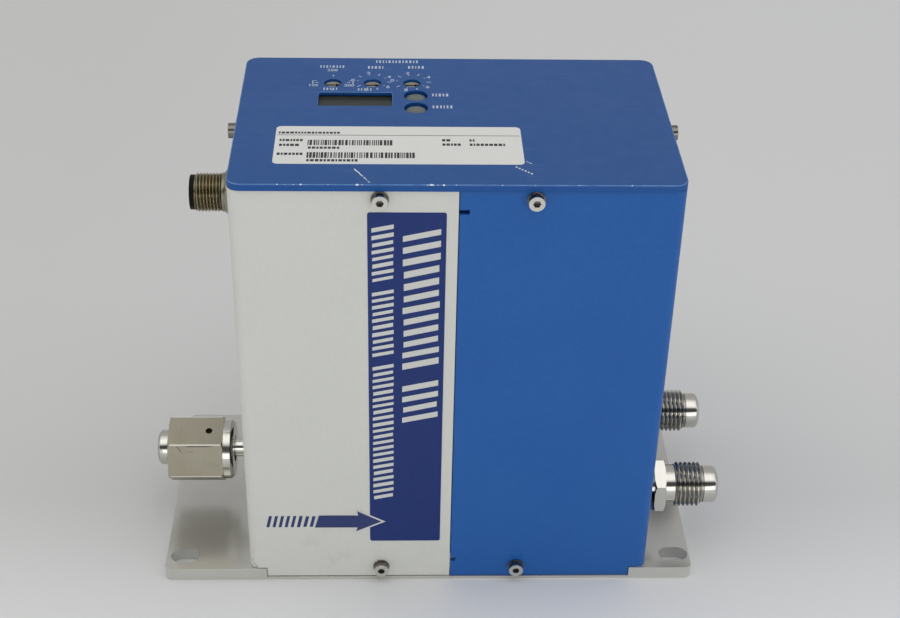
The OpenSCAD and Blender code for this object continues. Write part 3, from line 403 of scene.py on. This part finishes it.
def outlet_steel(name, centre):
    """Bright steel, with the grooves of a thread about an axis along X tinted dark."""
    made = grained_metal(name, (0.62, 0.605, 0.56, 1), (0.53, 0.515, 0.47, 1), 0.13, (0.07, 9, 9), 0.002)
    threaded = made.times(made.spread(made.axis("X"), 72.2 * MM, 72.4 * MM),
                          made.spread(made.axis("X"), 81.8 * MM, 81.6 * MM))
    groove = made.spread(made.reach(*centre), 7.0 * MM, 6.7 * MM, 0, 0.6)
    made.tint(made.times(threaded, groove), (0.17, 0.165, 0.145, 1))
    return made.material


# Pieces

def add_piece(name, shape, material, body="controller", smooth=35):
    """A new object from a bmesh, riding on a body, with smooth shading up to an angle in degrees."""
    mesh = bpy.data.meshes.new(name)
    bmesh.ops.recalc_face_normals(shape, faces=shape.faces)
    shape.to_mesh(mesh)
    shape.free()
    mesh.materials.append(material)
    mesh.shade_smooth()
    mesh.set_sharp_from_angle(angle=math.radians(smooth))
    piece = bpy.data.objects.new(name, mesh)
    scene.collection.objects.link(piece)
    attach(piece, body)
    return piece


def clean_copy(node):
    """A bmesh of a CAD node with its flat faces whole again."""
    shape = bmesh.new()
    shape.from_mesh(frame["nodes"][node].data)
    bmesh.ops.remove_doubles(shape, verts=shape.verts, dist=2e-6)
    bmesh.ops.dissolve_limit(shape, angle_limit=math.radians(0.5), verts=shape.verts, edges=shape.edges)
    return shape


def soften(piece, width_mm, segments, angle):
    """Rounds the edges sharper than an angle in degrees."""
    edge = piece.modifiers.new("edge", "BEVEL")
    edge.width = width_mm * MM
    edge.segments = segments
    edge.limit_method = "ANGLE"
    edge.angle_limit = math.radians(angle)
    edge.use_clamp_overlap = True
    even = piece.modifiers.new("even", "WEIGHTED_NORMAL")
    even.keep_sharp = True
    even.weight = 90


def dress(node, width_mm, segments=2, angle=50, rims=()):
    """Stands for a CAD node with the same shape and rounded edges. Each of rims is a width and a test of
    an edge's middle, both in millimetres, for edges that are rounded more."""
    slot = SLOT_OF[node]
    shape = clean_copy(node)
    for rim_mm, chosen in rims:
        edges = [edge for edge in shape.edges if edge.is_manifold and edge.is_convex
                 and edge.calc_face_angle() > math.radians(angle)
                 and chosen(*((edge.verts[0].co + edge.verts[1].co) / 2 / MM))]
        bmesh.ops.bevel(shape, geom=edges, offset=rim_mm * MM, offset_type="OFFSET", affect="EDGES",
                        segments=3, profile=0.5, clamp_overlap=True)
    piece = add_piece(node + ".dressed", shape, MATERIALS[slot], frame["nodes"][node]["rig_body"])
    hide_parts(node)
    soften(piece, width_mm, segments, angle)


def thread(start, end, pitch, root, crest):
    """Stations of a screw thread for turned(): its ridge rises from the root and falls back to it at
    both ends."""
    count = round(abs(end - start) / pitch * 10)

    def station(i):
        x = start + (end - start) * i / count
        fade = min(1, 3 * min(i, count - i) * abs(end - start) / count / pitch)

        def radius(share):
            turn = (x / pitch - share) % 1
            return root + (crest - root) * fade * min(1, max(0, (abs(2 * turn - 1) - 0.08) / 0.8))
        return x, radius
    return [station(i) for i in range(count + 1)]


def turned(shape, centre, profile, steps=72):
    """A surface turned about an axis along X, whose y and z are centre. profile holds [x, radius] stations in
    millimetres; a radius may be a function of the share of a turn."""
    rows = []
    for x, r in profile:
        row = []
        for k in range(steps):
            angle = 2 * math.pi * k / steps
            radius = r(k / steps) if callable(r) else r
            row.append(shape.verts.new((x * MM, (centre[0] + radius * math.cos(angle)) * MM,
                                        (centre[1] + radius * math.sin(angle)) * MM)))
        rows.append(row)
    for a, b in zip(rows, rows[1:]):
        for k in range(steps):
            shape.faces.new((a[k], a[(k + 1) % steps], b[(k + 1) % steps], b[k]))


def cut_away(shape, x_mm, keep_low=True):
    """Leaves only the part of a bmesh on one side of a plane across X."""
    bmesh.ops.bisect_plane(shape, geom=shape.verts[:] + shape.edges[:] + shape.faces[:], dist=1e-7,
                           plane_co=(x_mm * MM, 0, 0), plane_no=(1 if keep_low else -1, 0, 0),
                           clear_outer=True)


# Sheet covers, lid, plate

PLATE_END_TOP = 4.4


def plate_rim(x, y, z):
    """The upper edge round the plate's two ends."""
    return z > PLATE_END_TOP - 0.05 and abs(y) > 37.5 and abs(x) > 60


def lid_rim(x, y, z):
    """The upper edge round the lid."""
    return z > LID_TOP - 0.05 and (abs(x) > 60 or abs(y) > 38)


def window_rim(x, y, z):
    """The upper edge round the display's window."""
    return z > LID_TOP - 0.05 and x < -17 and 0 < y < 18


dress("base_plate", 0.2, 3, rims=[(0.7, plate_rim)])
dress("left_cover", 0.14)
dress("right_cover", 0.14)
dress("lid", 0.2, 3, rims=[(0.55, lid_rim), (0.35, window_rim)])
dress("cover_screws", 0.28, 3)
dress("lock_washers", 0.06, 1)
# The flats of the nut meet its chamfers at a low angle
dress("inlet_nut", 0.2, 3, 25)
dress("inlet_fitting", 0.25)
for side in ("left", "middle", "right"):
    dress("switch_case_" + side, 0.12)
    dress("switch_rotor_" + side, 0.12)
dress("display_module", 0.2)
dress("connector_seal", 0.1)


# Outlet fittings: stem and hexagon from the solid, thread and nose turned

OUTLET_CUT = 69.1  # the x past which an outlet is turned
OUTLET_PITCH = 1.411  # eighteen threads to the inch
OUTLET_ROOT, OUTLET_CREST = 6.29, 7.145
OUTLET_NOSE, OUTLET_BORE = 5.95, 2.3


def outlet(node):
    low, high = box_of(node)
    tip = high.x - 0.3
    centre = ((low.y + high.y) / 2, (low.z + high.z) / 2)
    shape = clean_copy(node)
    cut_away(shape, OUTLET_CUT)
    start = OUTLET_CUT - 0.02
    # Shoulder, thread, undercut, nose and its rounded end
    profile = [(start, 6.3), (72.2, 6.3), *thread(72.3, 80.95, OUTLET_PITCH, OUTLET_ROOT, OUTLET_CREST),
               (80.97, 5.75), (81.5, 5.75), (81.66, 5.9), (81.7, OUTLET_NOSE), (81.74, OUTLET_NOSE),
               (tip - 0.94, OUTLET_NOSE), (tip - 0.9, 5.93), (tip - 0.25, 5.5), (tip, 5.05), (tip, 4.4)]
    # The bead that seals, and the bore
    profile += [(tip + 0.3 * math.sin(a), 4.1 + 0.3 * math.cos(a))
                for a in (math.radians(d) for d in range(15, 180, 30))]
    profile += [(tip, 3.8), (tip, 2.6), (tip - 0.3, OUTLET_BORE), (start, OUTLET_BORE)]
    turned(shape, centre, profile)
    piece = add_piece(node + ".dressed", shape, outlet_steel(node, centre), "controller", 32)
    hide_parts(node)


outlet("outlet_fitting_front")
outlet("outlet_fitting_rear")


# Connector: threaded shell, black insert

def connector():
    shape = clean_copy("connector_shell")
    cut_away(shape, -69.4, keep_low=False)
    profile = [(-69.38, 6.05), (-70.1, 6.05), *thread(-70.2, -78.4, 1.0, 5.45, 6.0), (-78.5, 5.4),
               (-78.5, 5.0), (-69.4, 5.0)]
    turned(shape, CONNECTOR_AXIS, profile, 64)
    piece = add_piece("connector_shell.dressed", shape, MATERIALS["connector_nickel"], "controller",
                      32)
    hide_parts("connector_shell")
    dress("connector_insert", 0.3, 3)


connector()


# Print, label and banner

def flat(shape, points, place, along, upward):
    """A flat polygon: points are millimetres along two directions from place."""
    shape.faces.new([shape.verts.new((Vector(place) + Vector(along) * u + Vector(upward) * v) * MM)
                     for u, v in points])


def bar(shape, place, along, upward, length, height, slant=0.0):
    """A bar centred on place, its upper edge shifted along by slant."""
    u, v, s = length / 2, height / 2, slant / 2
    flat(shape, [(-u - s, -v), (u - s, -v), (u + s, v), (-u + s, v)], place, along, upward)


def blocks(shape, seed, start, along, upward, length, height, widths, gap, slant=0.0, words=()):
    """A row of plain bars that stands for a line of print, with a wider gap after each number of bars
    in words."""
    chance = random.Random(seed)
    at = 0.0
    count = 0
    while True:
        width = chance.uniform(*widths)
        if at + width > length:
            break
        middle = Vector(start) + Vector(along) * (at + width / 2)
        bar(shape, middle, along, upward, width, height * chance.choice((1.0, 0.94, 1.0)), slant)
        at += width + gap
        count += 1
        if count in words:
            at += gap * 2.2


def figures(shape, text, x, y, height, z):
    """Figures of a dial, set in Blender's own plain face."""
    curve = bpy.data.curves.new("figures", "FONT")
    curve.body = text
    curve.size = height * 1.35 * MM
    curve.align_x, curve.align_y = "CENTER", "CENTER"
    curve.offset = 0.00004
    holder = bpy.data.objects.new("figures", curve)
    scene.collection.objects.link(holder)
    mesh = bpy.data.meshes.new_from_object(holder)
    mesh.transform(Matrix.Translation((x * MM, y * MM, z * MM)))
    shape.from_mesh(mesh)
    bpy.data.objects.remove(holder)
    bpy.data.curves.remove(curve)
    bpy.data.meshes.remove(mesh)


def tick(shape, centre, angle, inner, outer, width, z):
    """A radial line of a dial, at an angle in degrees, between two radii."""
    turn = math.radians(angle)
    along = (math.cos(turn), math.sin(turn), 0)
    across = (-math.sin(turn), math.cos(turn), 0)
    middle = (inner + outer) / 2
    place = (centre[0] + along[0] * middle, centre[1] + along[1] * middle, z)
    bar(shape, place, along, across, outer - inner, width)


def lid_print():
    shape = bmesh.new()
    z = LID_TOP + PRINT
    left = SWITCHES[0]
    # Dials of ten steps, each second one with its figure
    for x, y in SWITCHES[1:]:
        middle = (x, y + 0.9)
        for step in range(10):
            angle = 172 - 35 * step
            if step % 2:
                tick(shape, middle, angle, 4.5, 5.8, 0.3, z)
            else:
                turn = math.radians(angle)
                tick(shape, middle, angle, 4.3, 4.8, 0.3, z)
                figures(shape, str(step), middle[0] + 6.0 * math.cos(turn),
                        middle[1] + 6.0 * math.sin(turn), 1.7, z)
    # The left dial has four places
    for angle in (0, 90, 180, 270):
        tick(shape, left, angle, 4.3, 5.3, 0.32, z)
    for x, text in ((-42.1, "125"), (-31.2, "500")):
        figures(shape, text, x, 20.6, 1.5, z)
    figures(shape, "250", -36.6, 31.2, 1.6, z)
    for sign in (-1, 1):
        bar(shape, (left[0] + sign * 5.6, left[1] + 1.2, z), X, Y, 1.3, 0.32)
        bar(shape, (left[0] + sign * 6.1, left[1] + 0.2, z), X, Y, 0.32, 2.0)
    # Plain strokes where the dials and lamps are named
    rows = ((3, -40.4, 33.8, 7.6, 1.7), (4, -23.2, 37.6, 13.6, 1.9), (5, -25.7, 33.4, 5.6, 1.9),
            (6, -13.3, 33.6, 5.6, 1.9), (7, -38.9, 18.2, 4.6, 1.6), (8, -28.5, 17.9, 4.6, 1.6),
            (9, -6.2, 14.4, 5.8, 1.9), (11, -6.2, 6.5, 6.4, 1.9))
    for seed, x, y, length, height in rows:
        blocks(shape, seed, (x, y, z), X, Y, length, height, (0.3, 0.7), 0.55)
    add_piece("lid_print", shape, PALE_INK, "controller")


def rounded_sheet(shape, x0, x1, z0, z1, corner, place):
    """A thin sheet with rounded corners. place turns [u, v] into a point."""
    points = []
    for cx, cz, start in ((x1 - corner, z1 - corner, 0), (x0 + corner, z1 - corner, 90),
                          (x0 + corner, z0 + corner, 180), (x1 - corner, z0 + corner, 270)):
        points += [(cx + corner * math.cos(math.radians(start + a)),
                    cz + corner * math.sin(math.radians(start + a))) for a in range(0, 91, 15)]
    front = [shape.verts.new(Vector(place(u, v, True)) * MM) for u, v in points]
    back = [shape.verts.new(Vector(place(u, v, False)) * MM) for u, v in points]
    shape.faces.new(front)
    shape.faces.new(back[::-1])
    count = len(points)
    for k in range(count):
        shape.faces.new((front[k], front[(k + 1) % count], back[(k + 1) % count], back[k]))


def top_label():
    shape = bmesh.new()
    rounded_sheet(shape, -51.4, 18.85, -29.0, -6.5, 1.5,
                  lambda u, v, up: (u, v, LID_TOP + FILM if up else LID_TOP))
    piece = add_piece("top_label.dressed", shape, MATERIALS["label_white"], "controller")
    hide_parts("top_label")
    # A thin rule, two rows of bars of random width, and strokes where the words are
    shape = bmesh.new()
    z = LID_TOP + FILM + SHEER
    bar(shape, (-16.3, -11.95, z), X, Y, 69.2, 0.26)
    chance = random.Random(21)
    for x0, x1, y0, y1 in ((-42.1, -18.2, -18.1, -14.9), (-42.05, -12.0, -25.6, -22.3)):
        x = x0
        while x < x1:
            width = chance.choice((0.3, 0.3, 0.5, 0.72))
            bar(shape, (x + width / 2, (y0 + y1) / 2, z), X, Y, width, y1 - y0)
            x += width + chance.choice((0.24, 0.24, 0.44))
    rows = ((31, -50.6, -10.5, 17.6, 1.2), (32, -50.1, -15.1, 6.8, 1.4), (33, -50.1, -18.0, 6.6, 1.4),
            (34, -50.4, -23.3, 7.2, 1.4), (35, -41.9, -19.6, 9.6, 1.3), (36, -42.0, -27.0, 14.8, 1.4),
            (37, -3.9, -14.8, 3.4, 1.4), (38, -3.9, -17.4, 5.8, 1.4), (39, 3.9, -14.8, 2.4, 1.4),
            (40, 3.9, -17.4, 10.2, 1.4))
    for seed, x, y, length, height in rows:
        blocks(shape, seed, (x, y, z), X, Y, length, height, (0.5, 1.1), 0.3)
    add_piece("label_print", shape, BLACK_INK, "controller")


BANNER_FACE = FRONT - FILM


def front_banner():
    shape = bmesh.new()
    rounded_sheet(shape, -25.0, -3.0, 16.0, 136.0, 0.7,
                  lambda u, v, out: (u, BANNER_FACE if out else FRONT, v))
    piece = add_piece("front_banner.dressed", shape, MATERIALS["banner_navy"], "controller")
    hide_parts("front_banner")
    shape = bmesh.new()
    y = BANNER_FACE - SHEER
    down = (0, 0, -1)
    blocks(shape, 51, (-9.8, y, 129.6), down, X, 67.0, 10.6, (1.7, 2.3), 1.9, -2.4, (12,))
    blocks(shape, 52, (-20.75, y, 131.6), down, X, 98.0, 6.2, (1.0, 1.4), 1.15, -1.3, (8, 18))
    add_piece("banner_print", shape, WHITE_INK, "controller")
    # Flow arrow, with a pale line round its head where it lies over the banner
    shape = bmesh.new()
    arrow = [(-42.3, 21.6), (-28.9, 21.6), (-29.4, 20.0), (-21.4, 24.0), (-29.0, 28.3), (-28.7, 26.5),
             (-40.9, 26.5)]
    outline = [(-30.0, 20.9), (-30.4, 19.0), (-20.1, 24.0), (-30.0, 29.4), (-29.6, 27.2)]
    flat(shape, outline, (0, BANNER_FACE - 0.010, 0), X, Z)
    add_piece("arrow_outline", shape, WHITE_INK, "controller")
    shape = bmesh.new()
    flat(shape, arrow, (0, BANNER_FACE - 0.022, 0), X, Z)
    blocks(shape, 53, (-57.0, FRONT - PRINT, 24.0), X, Z, 14.6, 4.6, (0.8, 1.1), 0.95, 1.0)
    add_piece("arrow", shape, NAVY_INK, "controller")


lid_print()
top_label()
front_banner()


# Wear and dark marks

def chips(shape, chance):
    """Bare chips along the lid's rounded front edge, each at an x with a size."""
    out = Vector((0, -1, 1)).normalized()
    rise = Vector((0, 1, 1)).normalized()
    middle = Vector((0, LID_FRONT + 0.16, LID_TOP - 0.16)) + out * 0.04
    for x, size in ((-49.3, 0.5), (-47.2, 0.3), (-44.9, 0.35), (-42.9, 0.7), (-35.5, 0.3), (-27.6, 1.1),
                    (-26.3, 0.4), (-8.4, 0.5), (-7.3, 1.7), (-5.6, 0.4), (-4.0, 0.9), (-0.6, 0.35),
                    (12.0, 0.4), (21.0, 0.3), (33.0, 0.3), (47.5, 0.5)):
        half, tall = size / 2, min(0.32, 0.4 * size)
        points = []
        for k in range(9):
            angle = 2 * math.pi * k / 9
            reach = chance.uniform(0.6, 1.0)
            points.append((half * reach * math.cos(angle), tall * reach * math.sin(angle)))
        flat(shape, points, middle + Vector((x, 0, 0)), X, rise)


def scratch(shape, chance, points, width, z):
    for (x0, y0), (x1, y1) in zip(points, points[1:]):
        run = Vector((x1 - x0, y1 - y0, 0))
        across = Vector((-run.y, run.x, 0)).normalized()
        w0, w1 = width * chance.uniform(0.5, 1), width * chance.uniform(0.4, 1)
        flat(shape, [(0, -w0 / 2), (run.length, -w1 / 2), (run.length, w1 / 2), (0, w0 / 2)],
             (x0, y0, z), run.normalized(), across)


def lid_wear():
    chance = random.Random(8)
    shape = bmesh.new()
    chips(shape, chance)
    z = LID_TOP + SHEER
    path = [(-28.6, -31.6), (-28.1, -32.7), (-27.4, -33.6), (-26.9, -34.7), (-26.2, -35.9)]
    scratch(shape, chance, path, 0.5, z)
    scratch(shape, chance, [(-25.9, -36.3), (-25.4, -37.3), (-24.9, -38.2)], 0.34, z)
    scratch(shape, chance, [(-24.6, -38.8), (-24.3, -39.3)], 0.45, z)
    # Two rows of small dents beside the label
    for k in range(6):
        bar(shape, (16.4 + 0.8 * k, -30.3 - 0.75 * k, z), X, Y, 0.55, 0.6)
    for k in range(3):
        bar(shape, (19.6 + 0.5 * k, -27.2 - 0.5 * k, z), X, Y, 0.35, 0.4)
    add_piece("lid_wear", shape, BARE_METAL, "controller")


def cover_cuts():
    """Painted shade: dark marks for short cuts at the foot of the white cover, laid round its bend: each runs
    from x, z to x, z.
    """
    shape = bmesh.new()
    steps = 8
    for (x0, z0), (x1, z1), half in (((-62.1, 6.5), (-60.9, 4.8), 0.14), ((-62.6, 8.0), (-62.0, 7.6), 0.10)):
        edges = []
        for k in range(steps + 1):
            x, z = x0 + (x1 - x0) * k / steps, z0 + (z1 - z0) * k / steps
            past = max(0.0, BEND_START - x)
            y = FRONT - PRINT + BEND_RADIUS - math.sqrt(BEND_RADIUS ** 2 - past ** 2)
            edges.append([shape.verts.new(Vector((x, y, z + side)) * MM) for side in (-half, half)])
        for before, after in zip(edges, edges[1:]):
            shape.faces.new([before[0], after[0], after[1], before[1]])
    add_piece("cover_cuts", shape, CUT_SHADE, "controller")


def nut_marks():
    """Dark marks on the nut, below the edge between the two flats in front."""
    shape = bmesh.new()
    across_flats, edge_angle, tilt = 19.7, 225.6, math.radians(14.4)
    radius = across_flats / 2 / math.cos(math.radians(30))
    turn = math.radians(edge_angle)
    out = Vector((0, -math.cos(tilt), math.sin(tilt)))
    rise = Vector((0, math.sin(tilt), math.cos(tilt)))
    edge = Vector((0, NUT_AXIS[0] + radius * math.sin(turn), NUT_AXIS[1] - radius * math.cos(turn)))
    face = edge + out * PRINT
    flat(shape, [(-4.9, 0), (-3.4, -0.2), (2.6, -0.16), (4.9, 0), (3.1, 0.14), (-2.8, 0.16)],
         face + Vector((-80.5, 0, 0)) - rise * 0.55, X, rise)
    flat(shape, [(0, 0), (1.5, -2.2), (1.7, -2.2), (0.3, 0)],
         face + Vector((-87.8, 0, 0)) - rise * 0.6, X, rise)
    flat(shape, [(0, 0), (2.2, -0.1), (2.2, 0.06), (0, 0.12)],
         face + Vector((-84.6, 0, 0)) - rise * 2.4, X, rise)
    add_piece("nut_marks", shape, NUT_DARK_MARKS, "nut")


lid_wear()
cover_cuts()
nut_marks()


# Every CAD node still shown, inside the covers too, takes its material

for name, part in frame["nodes"].items():
    part.data.materials.clear()
    part.data.materials.append(MATERIALS[SLOT_OF[name]])


# Floor, light and surroundings

def floor():
    """Pale paper, with painted shade on the left and painted light in front."""
    shape = bmesh.new()
    reach = 6.0
    shape.faces.new([shape.verts.new((x * reach, y * reach, 0))
                     for x, y in ((-1, -1), (1, -1), (1, 1), (-1, 1))])
    mesh = bpy.data.meshes.new("floor")
    shape.to_mesh(mesh)
    shape.free()
    paper = Surface("studio paper", linear(213, 213, 212), 0.6)
    paper.tint(paper.spread(paper.noise(420, 1), 0.35, 0.65, 0, 0.6), linear(216, 217, 218))
    # Painted shade towards the left and painted light towards the front
    paper.tint(paper.spread(paper.axis("X"), 0.05, -0.16), linear(208, 209, 207))
    paper.tint(paper.spread(paper.axis("Y"), 0.0, -0.15), linear(246, 247, 248))
    paper.bump(paper.noise(2, 2), 0.01)
    mesh.materials.append(paper.material)
    ground = bpy.data.objects.new("floor", mesh)
    scene.collection.objects.link(ground)


def softbox(name, place, target, width, height, power):
    """A rectangular lamp at a place, aimed at a target, in metres and watts."""
    data = bpy.data.lights.new(name, "AREA")
    data.shape = "RECTANGLE"
    data.size, data.size_y = width, height
    data.energy = power
    lamp = bpy.data.objects.new(name, data)
    lamp.location = place
    lamp.rotation_mode = "QUATERNION"
    lamp.rotation_quaternion = (Vector(target) - Vector(place)).to_track_quat("-Z", "Y")
    scene.collection.objects.link(lamp)
    lamp.visible_camera = False


def surroundings(strength):
    """A pale room that changes with the angle about X: bright round the horizon in front, dark above that,
    a bright strip overhead, grey behind."""
    world = bpy.data.worlds.new("room")
    scene.world = world
    world.use_nodes = True
    tree = world.node_tree
    back = tree.nodes["Background"]
    coords = tree.nodes.new("ShaderNodeTexCoord")
    parts = tree.nodes.new("ShaderNodeSeparateXYZ")
    ahead = tree.nodes.new("ShaderNodeMath")
    ahead.operation = "MULTIPLY"
    ahead.inputs[1].default_value = -1.0
    angle = tree.nodes.new("ShaderNodeMath")
    angle.operation = "ARCTAN2"
    turn = tree.nodes.new("ShaderNodeMapRange")
    turn.inputs["From Min"].default_value = -math.pi
    turn.inputs["From Max"].default_value = math.pi
    ramp = tree.nodes.new("ShaderNodeValToRGB")
    # Degrees up from the horizon in front, over the top to 180 behind, and the light from there
    levels = ((-180, 0.5), (-90, 0.4), (-14, 0.7), (-6, 1.1), (18, 1.1), (24, 0.08), (46, 0.08), (52, 0.5),
              (58, 0.9), (64, 1.38), (106, 1.38), (114, 0.75), (140, 0.62), (180, 0.6))
    stops = ramp.color_ramp.elements
    stops.remove(stops[0])
    for k, (degrees, level) in enumerate(levels):
        stop = stops[0] if k == 0 else stops.new((degrees + 180) / 360)
        stop.position = (degrees + 180) / 360
        stop.color = (level, level, level, 1)
    back.inputs["Strength"].default_value = strength
    # Seen directly, the room is one plain pale tone
    plain = tree.nodes.new("ShaderNodeBackground")
    plain.inputs["Color"].default_value = (0.74, 0.74, 0.74, 1)
    seen = tree.nodes.new("ShaderNodeLightPath")
    either = tree.nodes.new("ShaderNodeMixShader")
    for source, target in ((coords.outputs["Generated"], parts.inputs["Vector"]),
                           (parts.outputs["Y"], ahead.inputs[0]),
                           (parts.outputs["Z"], angle.inputs[0]),
                           (ahead.outputs["Value"], angle.inputs[1]),
                           (angle.outputs["Value"], turn.inputs["Value"]),
                           (turn.outputs["Result"], ramp.inputs["Fac"]),
                           (ramp.outputs["Color"], back.inputs["Color"]),
                           (seen.outputs["Is Camera Ray"], either.inputs[0]),
                           (back.outputs["Background"], either.inputs[1]),
                           (plain.outputs["Background"], either.inputs[2]),
                           (either.outputs["Shader"], tree.nodes["World Output"].inputs["Surface"])):
        tree.links.new(source, target)


floor()
surroundings(0.8)
softbox("key", (0.1, -0.5, 1.5), (0, 0, 0.05), 2.0, 1.2, 3.2)
softbox("fill", (0.6, -2.2, 0.42), (0, 0, 0.06), 2.3, 0.9, 8.2)
scene.view_settings.view_transform = "Standard"
